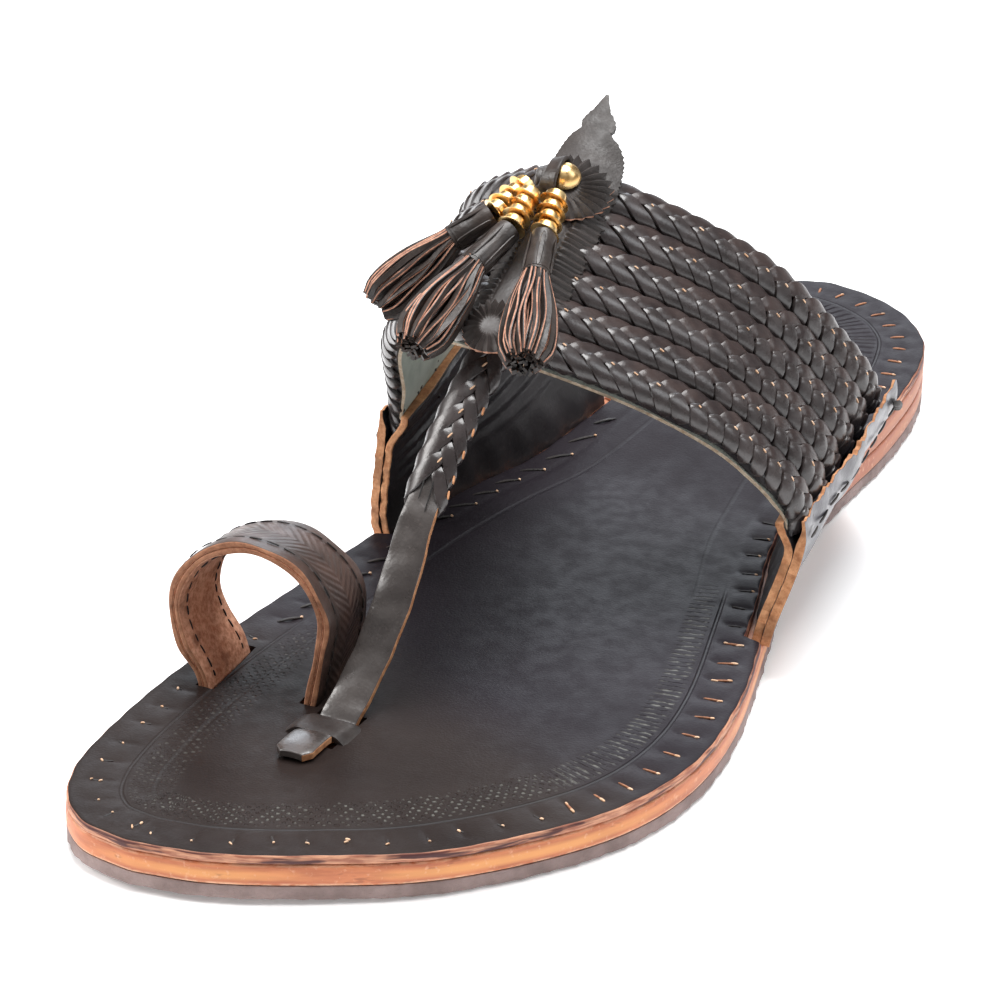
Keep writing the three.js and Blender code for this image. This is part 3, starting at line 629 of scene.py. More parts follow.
ROUND = [(0.5, 0.0), (0.12, 0.06), (0.0, 0.16), (-0.05, 0.5), (0.0, 0.84), (0.12, 0.95), (0.5, 1.0)]
sole_piece("outsole_sheet", mat_rubber, "outsole", "outsole",
           [(0.5, 0.0), (0.1, 0.12), (0.0, 0.4), (0.0, 0.8), (0.2, 1.0)],
           lambda y: OUTSOLE_THICK + toe_spring(y) + GAP - 0.05, toe_spring, wobble=0.22)
sole_piece("heel_wedge", mat_lift, "sole_side", "heel_lift", ROUND,
           lambda y: midsole_bottom(y) - SEAT, lambda y: MIDSOLE_BASE - SEAT + 0 * y, low=44.0)
sole_piece("midsole_layer", mat_midsole, "sole_side", "midsole", ROUND,
           lambda y: midsole_bottom(y) + MIDSOLE_THICK + GAP - SEAT, midsole_bottom)


# Insole, with its slots, border stitches and stamped band
FLAP_CUT, INSOLE_COUNT = 3.3, 1300
# Distance along the edge from the toe tip to each stitch of the border
STITCH_DOTS = [v - PERIMETER for v in (549.0, 558.0, 566.0, 573.5, 581.0, 588.0, 596.5, 604.0, 612.5, 622.0,
                                       630.0, 637.5)]
STITCH_DOTS += [1.5, 9.4, 17.0, 24.2, 30.3, 37.2, 44.4, 52.0, 58.6, 66.0, 73.5]
STITCH_DASHES = [80.5, 87.5, 94.5, 102.5, 110.6, 119.0, 126.8, 134.2, 142.2, 149.3, 157.2, 164.8, 172.4,
                 180.0, 187.6, 195.6, 202.7, 209.8, 218.4, 225.5]
STITCH_REST = list(PERIMETER * 0.5 + np.arange(-92, 98, 7.4))
STITCH_MEDIAL = list(np.arange(433.0, 545.0, 7.6) - PERIMETER)
ALL_STITCHES = np.array(STITCH_DOTS + STITCH_DASHES + STITCH_REST + STITCH_MEDIAL
                        + [STITCH_MEDIAL[0] + PERIMETER])


def insole_cut(p):
    """How far the insole stands in from the outline, deeper between the flaps' feet."""
    y = p[:, 1]
    cuts = [FLAP_CUT * ramp(front - 3.4, front - 1.4, y) * (1 - ramp(rear + 1.4, rear + 3.4, y))
            for front, rear in FLAP_FOOT.values()]
    return np.where(p[:, 0] > middle_at(y), *cuts)[:, None]


def border_relief(rim, arc):
    """Height of the border's troughs at the stitches and the soft swellings between them."""
    nearest = np.abs(np.asarray(arc)[..., None] - ALL_STITCHES).min(-1)
    trough = -0.42 * bell(nearest, 0.75) * ramp(2.2, 4.0, rim) * (1 - ramp(7.0, 9.0, rim))
    swell = 0.22 * ramp(0.8, 3.5, nearest) * ramp(1.0, 4.0, rim) * (1 - ramp(7.5, LINE_RIM, rim))
    strong = 0.45 + 0.55 * ramp(70, 100, arc) * (1 - ramp(235, 260, arc))
    return (trough + swell) * strong - 0.105 * bell(rim - LINE_RIM, 0.7)


def soft_waves(x, y):
    return (0.22 * np.sin(x * 0.11 + y * 0.05 + 1) + 0.18 * np.sin(y * 0.09 - x * 0.04)
            + 0.1 * np.sin(x * 0.21 - y * 0.17))


def insole():
    p, normal, arc = closed_outline(INSOLE_COUNT)
    p = p - normal * insole_cut(p)
    wavy = (0.1 * np.sin(arc * 0.21) + 0.07 * np.sin(arc * 0.83 + 1))[:, None]
    bottom = lambda q: insole_bottom(q[:, 1]) - SEAT
    levels = ((0.45, 0.0), (0.1, 0.1), (0.0, 0.3), (0.0, 0.62), (0.08, 0.84), (0.3, 0.97))
    sides = [(p - normal * (inset + wavy * (0.3 + 0.7 * share)), share) for inset, share in levels]
    axis = axis_point(p)
    under = lerp(sides[0][0], axis, 0.3)
    loops = [np.c_[q, bottom(q)] for q in (lerp(under, axis, 0.9), under)]
    loops += [np.c_[q, bottom(q) + (INSOLE_THICK + SEAT) * share] for q, share in sides]
    base = p - normal * (0.55 + wavy)
    for share in [*np.arange(0.0, 0.3, 0.018), 0.33, 0.36, 0.39, 0.42, 0.46, 0.5, 0.56, 0.64, 0.75, 0.9]:
        q = lerp(base, axis, share)
        rim, near = rim_values(q)
        z = insole_bottom(q[:, 1]) + INSOLE_THICK + border_relief(rim, near) * ramp(0.3, 2.5, rim)
        loops.append(np.c_[q, z + soft_waves(*q.T) * ramp(8, 25, rim) * 0.8])
    faces = capped(len(loops), INSOLE_COUNT)
    mats = [int(2 <= k // INSOLE_COUNT < 1 + len(sides)) for k in range(len(faces))]
    piece = Builder().add(np.concatenate(loops), faces, mats).done(
        "insole_leather_layer", [mat_insole, mat_insole_edge], "insole", ["insole"], sharp=50)
    cut_slots(piece)
    mesh = piece.data
    places = np.empty(len(mesh.vertices) * 3)
    mesh.vertices.foreach_get("co", places)
    x, y, z = places.reshape(-1, 3).T / MM
    rim, near = rim_values(np.c_[x, y])
    stamp = ramp(-40, 2, near) * (1 - ramp(166, 184, near)) * ramp(-136, -126, y)
    stamp = np.maximum(stamp, 0.35 * ramp(-110, -95, near) * (1 - ramp(0, 12, near)))
    give(mesh, {"rim": rim, "arc": near, "height": (z - insole_bottom(y)) / INSOLE_THICK, "stamp": stamp,
                "heel": ramp(72, 90, y), "toe": 1 - ramp(-105, -35, y + 0.25 * x)})
    mesh.set_sharp_from_angle(angle=math.radians(50))


def turned_by(degrees, x, y):
    c, s = math.cos(math.radians(degrees)), math.sin(math.radians(degrees))
    return c * x - s * y, s * x + c * y


LOOP = {"x": -32.7, "z": 23.4, "radius": 15.8, "width": 17.5, "front": -82.6, "lower_rear": 3.0,
        "lean_rear": 1.1}
LOOP_TURN, LOOP_FEET = 7.5, (-41.0, -21.0)


def loop_turned(x, y):
    dx, dy = turned_by(LOOP_TURN, x - LOOP["x"], y - LOOP["front"])
    return LOOP["x"] + dx, LOOP["front"] + dy


def cut_slots(piece):
    """Cuts the slots of the strap and the two feet of the toe loop through the insole."""
    slots = [(-13.9, -87.2, 8.8, 13.4, 0.0)]
    for x in LOOP_FEET:
        place = loop_turned(x + LOOP["lean_rear"] / 2, LOOP["front"] + LOOP["width"] / 2)
        slots.append((*place, 3.6, 18.1, LOOP_TURN - 3.6))
    half, middle, deep = (-0.5, 0.5), 8.0, 8.0
    for x, y, wide, long, turn in slots:
        corners = [(*turned_by(turn, i * wide, j * long), k * deep) for i in half for j in half for k in half]
        mesh = bpy.data.meshes.new("slot")
        mesh.from_pydata([((x + dx) * MM, (y + dy) * MM, (middle + dz) * MM) for dx, dy, dz in corners], [],
                         [(0, 1, 3, 2), (4, 6, 7, 5), (0, 4, 5, 1), (2, 3, 7, 6), (0, 2, 6, 4), (1, 5, 7, 3)])
        cutter = in_scene("slot", mesh)
        mod = piece.modifiers.new("slot", "BOOLEAN")
        mod.operation, mod.object, mod.solver = "DIFFERENCE", cutter, "EXACT"
        bpy.context.view_layer.update()
        result = bpy.data.meshes.new_from_object(piece.evaluated_get(bpy.context.evaluated_depsgraph_get()))
        piece.modifiers.clear()
        old, piece.data, result.name = piece.data, result, piece.name
        bpy.data.meshes.remove(old)
        bpy.data.objects.remove(cutter)
        bpy.data.meshes.remove(mesh)


insole()


def strap_bridge(x0=-14.1, half=7.2, open_half=4.2, front=-91.7, rear=-84.4, thick=1.1):
    """The narrow band of leather between the two slits that the strap is tucked under."""
    x, v = np.linspace(-half, half, 41), np.linspace(1, -1, 9)[:, None]
    share = ramp(0, 1, (half - np.abs(x)) / (half - open_half + 0.6))
    y = lerp(front, rear, (v + 1) / 2) - 0.03 * x
    high = lerp(1.7, 0.95, (v + 1) / 2) * share - 0.3 * np.abs(v) ** 6 - 0.3 * (1 - share)
    top = np.stack([x0 + x + 0 * v, y, INSOLE_TOP + high], -1)
    Builder().slab(top, top - [0, 0, thick], (0, 0, 0)).done("strap_bridge_band", [mat_bridge], "insole")


strap_bridge()


def stitches():
    """Border stitches: thin thongs across the edge, with raw ends, worked through the insole."""
    b = Builder()
    dark, brown, raw = 0, 1, 2

    def place(arc, rim, lift):
        p, normal = outline_at(arc)
        x, y = p - normal * rim
        return x, y, insole_bottom(y) + INSOLE_THICK + border_relief(rim, arc) + lift

    def thong(arc, near, far, mat, slant, wide, rise, lift):
        b.pill(place(arc - slant, near, lift), place(arc + slant, far, lift), (0, 0, 1), wide, 0.2, mat, rise)

    for arc in STITCH_DOTS:
        near = vary(3.6, 5.0)
        far = near + vary(1.0, 2.9)
        slant = vary(-0.4, 0.4)
        thong(arc, near, far, dark, slant, 0.22, -0.12, 0.02)
        for end in rng.choice(((-1,), (-1,), (-1, 1), (1,))):
            rim = near if end < 0 else far
            thong(arc + end * slant, rim, rim - 0.7 * end * vary(0.5, 1.2), raw, vary(-0.45, 0.45),
                  vary(0.16, 0.26), 0.02, 0.06)
    for arc in STITCH_DASHES:
        chance, rear = rng.random(), arc > 164
        near, far = vary(2.9, 3.5) + 1.3 * rear, vary(6.5, 7.0) + 0.8 * rear
        slant = vary(-0.35, 0.35)
        thong(arc, near, far, dark if rear else brown, slant, 0.2, 0.02, 0.03)
        if rear and chance < 0.5:
            thong(arc - slant, near, near + 0.7, raw, 0.1, 0.2, 0.03, 0.08)
        if not rear:
            thong(arc - slant, near - 0.1, near + vary(0.9, 1.6), raw, 0.15, 0.24, 0.04, 0.1)
            if chance < 0.6:
                thong(arc + slant, far - vary(0.6, 1.3), far + 0.1, raw, 0.15, 0.2, 0.03, 0.08)
    for arc in STITCH_REST:
        near, far = vary(3.6, 4.2), vary(6.6, 7.2)
        thong(arc, near, far, brown, vary(-0.3, 0.3), 0.26, 0.06, 0.06)
        if rng.random() < 0.6:
            thong(arc, near, near + 0.9, raw, 0.1, 0.22, 0.03, 0.1)
    for arc in STITCH_MEDIAL:
        near, far = 6.0 + vary(-0.3, 0.3), 8.8 + vary(-0.3, 0.4)
        slant = -2.2 + vary(-0.3, 0.3)
        thong(arc, near, far, dark, slant, 0.36, 0.18, 0.06)
        if rng.random() < 0.7:
            thong(arc + slant, far - 0.2, far + 0.35, raw, -0.1, 0.26, 0.1, 0.14)
    b.done("border_stitches", [mat_thread, mat_tan_dark, mat_fleck], "insole")


stitches()


# Six V-plaits of the upper, with the half width, rise and base of a plait's rounded cross-section
BRAIDS, ROPE_HALF, ROPE_RISE, ROPE_BASE = 6, 4.15, 3.0, -1.75
FLAP_TOP_S = {"lateral": 74.0, "medial": 65.3}
APEX_START = {"lateral": (7.6, 9.9, 8.8, 7.6, 6.4, 9.7), "medial": (8.4, 9.0, 7.2, 8.8, 7.0, 9.2)}
U = np.linspace(0, 1, 18)


def plait(builder, place, strands, half, rise, base, thick, roll_degrees, lean=lambda start: 0.0 * start):
    """Lays strands round a plait: each is (start along, side, slope, half width, first angle, material).

    lean(start) turns the line where the two rows of strands meet, in degrees round the plait.
    """
    start, side, slope, wide, first, mat = (np.array(v)[:, None] for v in zip(*strands))
    angle = np.radians(lerp(first * side + lean(start), 104.0 * side, U))
    c, h = half * np.sin(angle), base + rise * np.cos(angle)
    steps = np.hypot(np.diff(c, prepend=c[:, :1]), np.diff(h, prepend=h[:, :1]))
    d = start + np.cumsum(steps, axis=1) / slope
    cn, hn = np.sin(angle) / half, np.cos(angle) / rise
    cn, hn = cn / np.hypot(cn, hn), hn / np.hypot(cn, hn)
    sink = thick + 0.75 * ramp(0.15, 0.0, U) + 0.5 * ramp(0.86, 1.0, U) + 0.12 * (side > 0)
    c, h = c - cn * sink, h - hn * sink
    paths = place(d, c, h)
    up = unit(place(d, c + 0.5 * cn, h + 0.5 * hn) - paths)
    tangent = unit(np.gradient(paths, axis=1))
    across = facing(unit(np.cross(up, tangent)), place(d - 0.5, c, h) - paths)
    roll = math.radians(roll_degrees)
    across = across * math.cos(roll) + up * math.sin(roll)
    square = unit(np.cross(across, tangent))
    up = facing(square, up)
    order = np.where((square * up).sum(-1)[:, 5] < 0, 1, -1)
    wide = wide * (0.6 + 0.4 * ramp(0.0, 0.2, U) - 0.3 * ramp(0.55, 0.9, U))
    deep = thick * (1 + 0.25 * ramp(30, 60, start))
    for k, path in enumerate(paths):
        builder.sweep(path, across[k], up[k], wide[k], deep[k], PLAIT_SECTION[::order[k]], int(mat[k, 0]))


def braids():
    b = Builder()
    for side, sign in SIDES.items():
        lean = (lambda start: -12.0 - 14.0 * ramp(14, 48, start)) if sign > 0 else (lambda start: 0.0 * start)
        for k in range(BRAIDS):
            place = lambda d, c, h: on_upper(-sign * d, (k + 0.5) / BRAIDS, c, h)
            strands, flecks = [], []
            d0 = APEX_START[side][k] - 10.0
            while d0 < FLAP_TOP_S[side] + 4:
                # The slope is the advance across the plait for each millimetre along it
                pitch, slope = lerp(5.1, 3.85, ramp(28, 58, d0)), lerp(0.64, 1.3, ramp(18, 56, d0))
                wide = 0.55 * pitch * slope / math.hypot(1, slope)
                jitter = vary(-2, 2)
                # Front strands (material 0) take the braid leather; rear strands (material 1) take its copy
                # with painted shade.
                strands.append((d0 - 1.6, -1, slope, wide, -20.0 + jitter, 0))
                strands.append((d0 + 0.1 * pitch, 1, slope, wide * 0.96, 6.0 + jitter, 1))
                if rng.random() < 0.6 and 9 < d0 < FLAP_TOP_S[side] - 2:
                    flecks.append(d0)
                d0 += pitch * (1 + vary(-0.04, 0.04))
            plait(b, place, strands, ROPE_HALF, ROPE_RISE, ROPE_BASE, 0.58, 11, lean)
            for d0 in flecks:
                turn = np.radians(np.array([12.0, 8.0]) + lean(d0))
                c, h = ROPE_HALF * np.sin(turn), ROPE_BASE + 0.03 + ROPE_RISE * np.cos(turn)
                ends = place(np.array([d0 - 0.5, d0 + vary(0.1, 0.6)]), c, h)
                b.pill(*ends, unit(place(d0, c[0] * 1.25, h[0] + 1.0) - place(d0, c[0], h[0])), 0.16, 0.16, 2)
    b.done("plaited_strands", [mat_braid, mat_braid_shaded_side, mat_fleck], "upper_plait", ["upper"])


def band_backing():
    """Dark leather the plaits lie on, with a grey-green cloth lining."""
    t, w = np.linspace(0.181, 0.819, 90)[:, None], np.linspace(0.01, 0.99, 26)[None]
    hem = ramp(0.19, 0.24, np.minimum(t, 1 - t))
    wavy = w + 0.006 * np.sin(t * 60) * (1 - ramp(0, 0.15, w))
    Builder().slab(upper_offset(t, wavy, -1.0), upper_offset(t, wavy, lerp(-2.1, -3.2, hem)), (0, 0, 0)).done(
        "band_backing", [mat_flap], "upper_plait", bevel=0.3)
    outer, inner = (upper_offset(t, w - 0.008, lerp(*deep, hem)) for deep in ((-2.15, -3.25), (-2.65, -4.0)))
    Builder().slab(outer, inner).done("band_lining", [mat_lining, mat_lining_edge], "upper_plait")


braids()
band_backing()


# Flaps, of which the outer ones stand off the plaits towards their rear
FLARE = {"lateral": 1.7, "medial": 0.6}


def waves(a, seed, scale):
    return scale * (0.5 * np.sin(a * 0.9 + seed) + 0.3 * np.sin(a * 2.1 + seed * 2.3)
                    + 0.2 * np.sin(a * 4.3 + seed * 0.7))


def flap(side, outer, width=64.0):
    sign, foot = SIDES[side], ARC_S[0 if side == "lateral" else -1]
    v, u = np.linspace(0, 1, 46)[:, None], np.linspace(0, 1, 70)[None]
    reach = abs(foot) - FLAP_TOP_S[side] + (waves(u * width, 1.0, 0.55) if outer else 0.0)
    s = foot + sign * v * reach
    t = np.interp(s, ARC_S, ARC_T)
    tip = 0.3 * waves(v * 40, 2.0 if outer else 5.0, 0.9) / width
    front, rear = (-0.015, 1.02) if outer else (-0.012, 1.0)
    w = lerp(front, rear, u) + tip * (1 - ramp(0, 0.1, u)) - 0.5 * tip * ramp(0.9, 1.0, u)
    away = ramp(0.0, 0.16, u) * ramp(0, 0.1, 1 - u)
    if outer:
        fold = 0.35 * np.sin(u * 21 + v * 2.2 + 1) + 0.3 * np.sin(u * 9 - v * 3)
        fold = fold + 0.12 * np.sin(u * 47 + v * 5)
        flare = FLARE[side] * ramp(0.12, 0.6, u) * ramp(0.1, 0.7, v)
        high = 1.9 + fold * away * ramp(0.0, 0.3, v) * 0.8 + 0.35 * bell(v - 0.12, 0.08) * away + flare
        high = high - 0.3 * ramp(0.8, 1.0, v)
        low = 0.05 + 0.9 * ramp(0.8, 0.97, v) + flare
    else:
        drop = lerp(-0.2, -2.9, ramp(0.166, 0.196, np.minimum(t, 1 - t)))
        pleat = 0.25 * np.sin(s * 1.9 + u * 14) * ramp(0.2, 0.45, v)
        pleat = pleat + 0.3 * np.sin(u * 52) * ramp(0.35, 0.1, v)
        high, low = drop + 0.22, drop - 1.5 - (0.3 + pleat) * away
    t, w, high, low = (g[::-int(sign)] for g in np.broadcast_arrays(t, w, high, low))
    node, end = (f"flap_{side}_outer", "_wall") if outer else (f"flap_{side}_inner", "_facing")
    # The lateral outer flap gets the copy with the painted bluish sheen.
    face = mat_flap_sheen if outer and side == "lateral" else mat_flap
    Builder().slab(upper_offset(t, w, high), upper_offset(t, w, low)).done(
        node + end, [face, mat_tan], "flap", [node], bevel=0.35)


def flap_stitches():
    """Thong running along the outer flaps under their top edge, knotted at both ends."""
    b = Builder()

    def knot(start, end, middle, *sizes):
        up = unit(on_upper(*middle, 0.0, 4.0) - on_upper(*middle, 0.0, 2.0))
        b.pill(on_upper(*start[:2], 0.0, start[2]), on_upper(*end[:2], 0.0, end[2]), up, *sizes)

    for side, sign in SIDES.items():
        down = lambda d: -sign * (FLAP_TOP_S[side] + d)
        flare = FLARE[side]
        for j in range(9):
            w0 = 0.04 + j * 0.108
            start, end = ((down(4.6 + 0.4 * math.sin(j * 2.0 + k)), w, 2.15 + flare * ramp(0.12, 0.6, w))
                          for k, w in enumerate((w0, w0 + 0.085)))
            knot(start, end, (down(4.6), w0), 0.38, 0.22, 0, 0.12)
        for j in range(3):
            w0 = 0.955 + 0.02 * j
            knot((down(1.6 + 1.3 * j), w0 - 0.035, 2.4 + flare), (down(3.6 + 0.9 * j), w0 + 0.03, 2.6 + flare),
                 (down(3), w0), 0.7, 0.5, 0, 0.5)
    for s in FLAP_TOP_S["medial"] + np.array([8, 14, 20, 26]):
        knot((s, -0.01, 1.9), (s + 1.2, 0.055, 2.45), (s, 0.02), 0.5, 0.4, 0, 0.3)
    b.done("flap_thong", [mat_thread], "flap")


for side in SIDES:
    flap(side, True)
    flap(side, False)
flap_stitches()


# Centre plate, rosettes and button
CROWN_LENGTH, CROWN_SPAN = 48.0, 330.0
PLATE = np.array([(-1.2, 5.6), (1.5, 8.4), (5, 9.3), (30, 9.3), (42, 8.8), (47, 8.3), (50.5, 7.2), (53, 5.4),
                  (54.6, 3.5), (56.2, 3.9), (58, 3.0), (60, 1.5), (62.8, 0.35)])
COMB_PITCH = 1.45


def on_crown(along, c, h):
    return upper_offset(0.5 + c / CROWN_SPAN, along / CROWN_LENGTH, h)


def centre_plate():
    along = np.concatenate([np.arange(-1.2, 46, 0.28), np.arange(46, 63.4, 0.35)])
    a = along[:, None]
    fringed = ramp(1, 4, a) * (1 - ramp(40, 43, a))
    tips = 0.55 * (np.sin(a * 2 * math.pi / COMB_PITCH) > 0) + 0.25 * np.sin(a * 1.7)
    half = np.interp(a, *spline(PLATE, np.linspace(0, 1, 400)).T)
    half = half - 0.35 * np.abs(np.sin(a * 2.9)) * (a > 43) * (a < 60) + fringed * tips * 0.7
    c = np.linspace(-1, 1, 61) * half
    beside = np.abs(c)
    groove = np.cos(a * 2 * math.pi / COMB_PITCH + 0.8 * np.sin(a * 0.9))
    droop = 1.5 * ramp(4.5, 10.5, beside) * fringed
    swell = 0.125 * np.sin(a * 0.5 + 1) * np.cos(c * 0.3)
    lift = 2.6 * ramp(44, 63, a)
    comb = 0.32 * np.maximum(groove, -0.8) * ramp(3.9, 4.6, beside) * fringed
    seam = 0.25 * bell(beside - 4.1, 0.35) * fringed
    high, low = 2.15 - droop + comb + swell + lift - seam, 0.6 - 0.6 * droop + lift
    Builder().slab(on_crown(a, c, high), on_crown(a, c, low),
                   rim_mat=lambda r, col: int((along[r] > 43 and col > 30) or r == 0)).done(
        "centre_plate_leather", [mat_plate, mat_tan], "plate", ["centre_plate"], bevel=0.12)


def rosette(name, node, along, radius, flutes, base=2.5, rings=14):
    """A fluted leather sunburst with a toothed tan rim."""
    steps = flutes * 8
    angle = turns(steps)
    tooth = 0.5 - np.abs(((np.arange(steps) / 8 + 0.5) % 1) - 0.5) * 2

    def ring(share, toothed, h):
        r = radius * share * (1 + 0.085 * tooth * toothed)
        return on_crown(along - r * np.cos(angle), r * np.sin(angle), base + h)

    loops = [ring(0.5, 1, 0.1), ring(1, 1, 0.55 + 0.4 * tooth)]
    for f in 0.22 + 0.78 * np.arange(rings)[::-1] / (rings - 1):
        h = 1.0 + 0.8 * tooth * ramp(0.25, 0.6, f) + 0.35 * math.sin(f * 2.6) - 0.25 * ramp(0.85, 1, f)
        loops.append(ring(f, ramp(0.8, 1.0, f), h))
    faces = tube_faces(len(loops), steps)
    Builder().add(np.concatenate(loops), faces, [int(k // steps == 1) for k in range(len(faces))]).done(
        name, [mat_plate, mat_rosette_rim], "plate", [node], sharp=60)


def button():
    """Brass dome on the upper rosette, with the thong that holds it."""
    p, steps = on_crown(40.0, 0.0, 3.9), 32
    up = unit(on_crown(40.0, 0.0, 4.9) - p)
    across = facing(unit(on_crown(40.0, 1.0, 3.9) - on_crown(40.0, -1.0, 3.9)), np.array([1.0, 0, 0]))
    forward = unit(np.cross(up, across))
    profile = [(0.2, -0.2), (1.0, -0.15)]
    profile += [(3.0 * math.cos(q), 0.35 + 3.0 * math.sin(q)) for q in np.linspace(0, 1.5, 12)]
    angle = turns(steps)[:, None]
    loops = [p + (across * np.cos(angle) + forward * np.sin(angle)) * r + up * z for r, z in profile]
    Builder().add(np.concatenate(loops), tube_faces(len(loops), steps)).done(
        "button_dome", [mat_brass], "brass", ["button"])
    b = Builder()
    arch = math.pi * np.linspace(0.08, 0.92, 25)[:, None]
    path = p + across * (0.4 * np.sin(arch) - 2.3) - forward * 3.9 * np.cos(arch)
    path = path + up * (3.5 * np.sin(arch) - 0.35)
    tangent = directions(path)
    flat = unit(np.cross(tangent, np.cross(across + up * 0.55, tangent)))
    b.sweep(path, flat, unit(np.cross(tangent, flat)), 1.9 - 0.4 * np.sin(arch[:, 0]), 0.42, STRIP)
    for k in range(3):
        q = p - across * (3.2 + 0.9 * k) + up * 0.2
        b.pill(q - forward * 3.2 + across * 0.5, q + forward * (2.6 - 0.5 * k), up, 0.65, 0.5, 0, 0.8)
    b.done("button_thong", [mat_tassel], "tassel")


centre_plate()
rosette("rosette_upper_sunburst", "rosette_upper", 38.5, 8.2, 26)
rosette("rosette_lower_sunburst", "rosette_lower", 0.6, 6.4, 22)
button()


# Tassels: where the coil, the neck and the fringe start and end
TASSELS = {
    "medial": ((-15.0, -7.6, 85.4), (-17.8, -16.4, 81.6), (-23.2, -21.6, 77.6), (-33.6, -32.4, 65.6)),
    "middle": ((-12.7, -10.9, 85.2), (-12.4, -20.0, 81.0), (-15.3, -29.0, 76.6), (-17.6, -49.2, 67.0)),
    "lateral": ((-7.9, -10.0, 85.2), (-6.0, -19.0, 80.6), (-3.2, -28.0, 76.7), (4.6, -48.8, 68.5))}
FRINGE_PROFILE = np.array([(0, 2.4), (0.15, 3.3), (0.4, 4.6), (0.72, 5.3), (0.9, 4.9), (1, 4.0)])


def axes(start, end):
    """Direction from start to end and two directions square to it."""
    axis = unit(end - start)
    side = unit(np.cross(axis, (0, 0, 1.0)))
    return axis, side, np.cross(side, axis)


def turned(builder, start, end, profile, tilt=0.0, steps=28):
    """A closed turned body between two places; profile holds (share of length, radius)."""
    axis, side, other = axes(start, end)
    angle = turns(steps)[:, None]
    circle = (side + tilt * axis) * np.cos(angle) + other * np.sin(angle)
    loops = [lerp(start, end, share) + circle * r for share, r in profile]
    builder.add(np.concatenate(loops), tube_faces(len(loops), steps))


def coil(side, start, end, parts=4):
    b = Builder()
    for k in range(parts):
        turned(b, lerp(start, end, k / parts + 0.015), lerp(start, end, (k + 1) / parts - 0.05),
               [(0, 1.75), (0.05, 2.0), (0.3, 2.06), (0.7, 2.06), (0.95, 2.0), (1, 1.75)], vary(-0.06, 0.06))
        ring = lerp(start, end, (k + 1) / parts - 0.055)
        turned(b, ring, ring + unit(end - start) * 0.42,
               [(0, 1.7), (0.03, 2.7), (0.2, 2.82), (0.5, 2.84), (0.65, 2.7), (0.7, 1.7)], vary(-0.3, 0.3))
    b.done(f"tassel_{side}_brass", [mat_brass], "brass", [f"tassel_{side}_coil"])


def neck(side, start, end):
    b = Builder()
    axis, out, other = axes(start, end)
    wraps = [(v, 2.42 + 0.12 * math.sin(v * 11 + len(side)) + 0.2 * ramp(0.7, 1, v))
             for v in np.linspace(0.03, 1.04, 13)]
    turned(b, start, end, [(0.03, 1.7), *wraps, (1.05, 2.0)])
    for k in range(5):
        angle = k * 1.3 + 0.4
        d = out * math.cos(angle) + other * math.sin(angle)
        b.pill(lerp(start, end, 0.12) + d * 2.5, lerp(start, end, 0.98) + d * 2.65, d, 0.5, 0.2, 0, 0.05)
    for k in range(2):
        at = lerp(start, end, 0.93 + 0.06 * k)
        turned(b, at, at + axis * 0.55, [(0, 2.3), (0.2, 2.6), (0.8, 2.62), (1, 2.3)], 0.05 * (1 - 2 * k))
    b.done(f"tassel_{side}_wrap", [mat_tassel], "tassel", [f"tassel_{side}_neck"])


def fringe(side, start, end):
    b = Builder()
    _, first, other = axes(start, end)
    for layer, count, shrink in ((0, 25, 1.0), (1, 16, 0.76), (2, 9, 0.45)):
        for k in range(count):
            angle = (k + vary(-0.22, 0.22)) / count * 2 * math.pi + layer * 0.3
            u = np.linspace(-0.03, 1.0 + vary(-0.045, 0.0) - 0.02 * layer, 22)
            r = np.convolve(np.pad(np.interp(u, *FRINGE_PROFILE.T), 2, "edge"), np.ones(5) / 5, "valid")
            r = r * shrink * (1 + vary(-0.06, 0.06) * np.sin(u * 3)) - 0.55
            r = r - vary(0.6, 1.1) * 1.2 * ramp(0.86, 1.0, u)
            a = (angle + vary(-0.25, 0.25) * np.sin(u * 2.6) + 0.05 * np.sin(u * 9 + k))[:, None]
            radial = first * np.cos(a) + other * np.sin(a)
            path = lerp(start, end, u[:, None]) + radial * r[:, None]
            tangent = directions(path)
            turn = vary(0.55, 1.5) * (1 if (k + layer) % 4 else -1)
            across = unit(np.cross(radial, tangent)) * math.cos(turn) + radial * math.sin(turn)
            across = unit(across - tangent * (across * tangent).sum(-1, keepdims=True))
            wide = (0.46 + 0.16 * np.sin(np.clip(u, 0, 1) * 2.6)) * vary(0.85, 1.15)
            b.sweep(path, across, unit(np.cross(tangent, across)), wide, 0.26, STRIP, 0, STRIP_EDGES)
    b.done(f"tassel_{side}_strips", [mat_tassel, mat_fringe_edge], "tassel", [f"tassel_{side}_fringe"])


for side, places in TASSELS.items():
    for make, start, end in zip((coil, neck, fringe), np.array(places), np.array(places[1:])):
        make(side, start, end)


# Toe strap: plaited at the top, then a flat tail down to the bridge; places, width and thickness
STRAP = np.array([
    (-8.0, -39.4, 62.3, 8.4, 3.2), (-9.1, -46.9, 55.4, 8.6, 3.4), (-10.0, -54.6, 46.9, 8.6, 3.2),
    (-10.5, -60.5, 38.2, 8.8, 2.4), (-11.0, -66.0, 28.6, 8.8, 1.9), (-11.9, -72.4, 19.4, 8.4, 1.8),
    (-12.9, -77.6, 13.4, 8.2, 1.8), (-13.5, -81.6, 9.9, 7.8, 1.7), (-13.8, -83.5, 8.2, 7.8, 1.6),
    (-14.0, -84.9, 7.8, 7.8, 1.5), (-14.2, -88.6, 7.8, 7.8, 1.5), (-14.2, -90.6, 8.7, 7.8, 1.6),
    (-14.1, -93.2, 9.6, 7.8, 1.6), (-13.9, -97.4, 9.95, 7.6, 1.6), (-13.7, -101.4, 9.9, 6.6, 1.4)])
STRAP_FINE = spline(STRAP, np.linspace(0, 1, 500))
STRAP_S = travelled(STRAP_FINE[:, :3])
STRAP_TANGENT = directions(STRAP_FINE[:, :3])
STRAP_ACROSS = np.array([1.0, 0.12, 0.0])


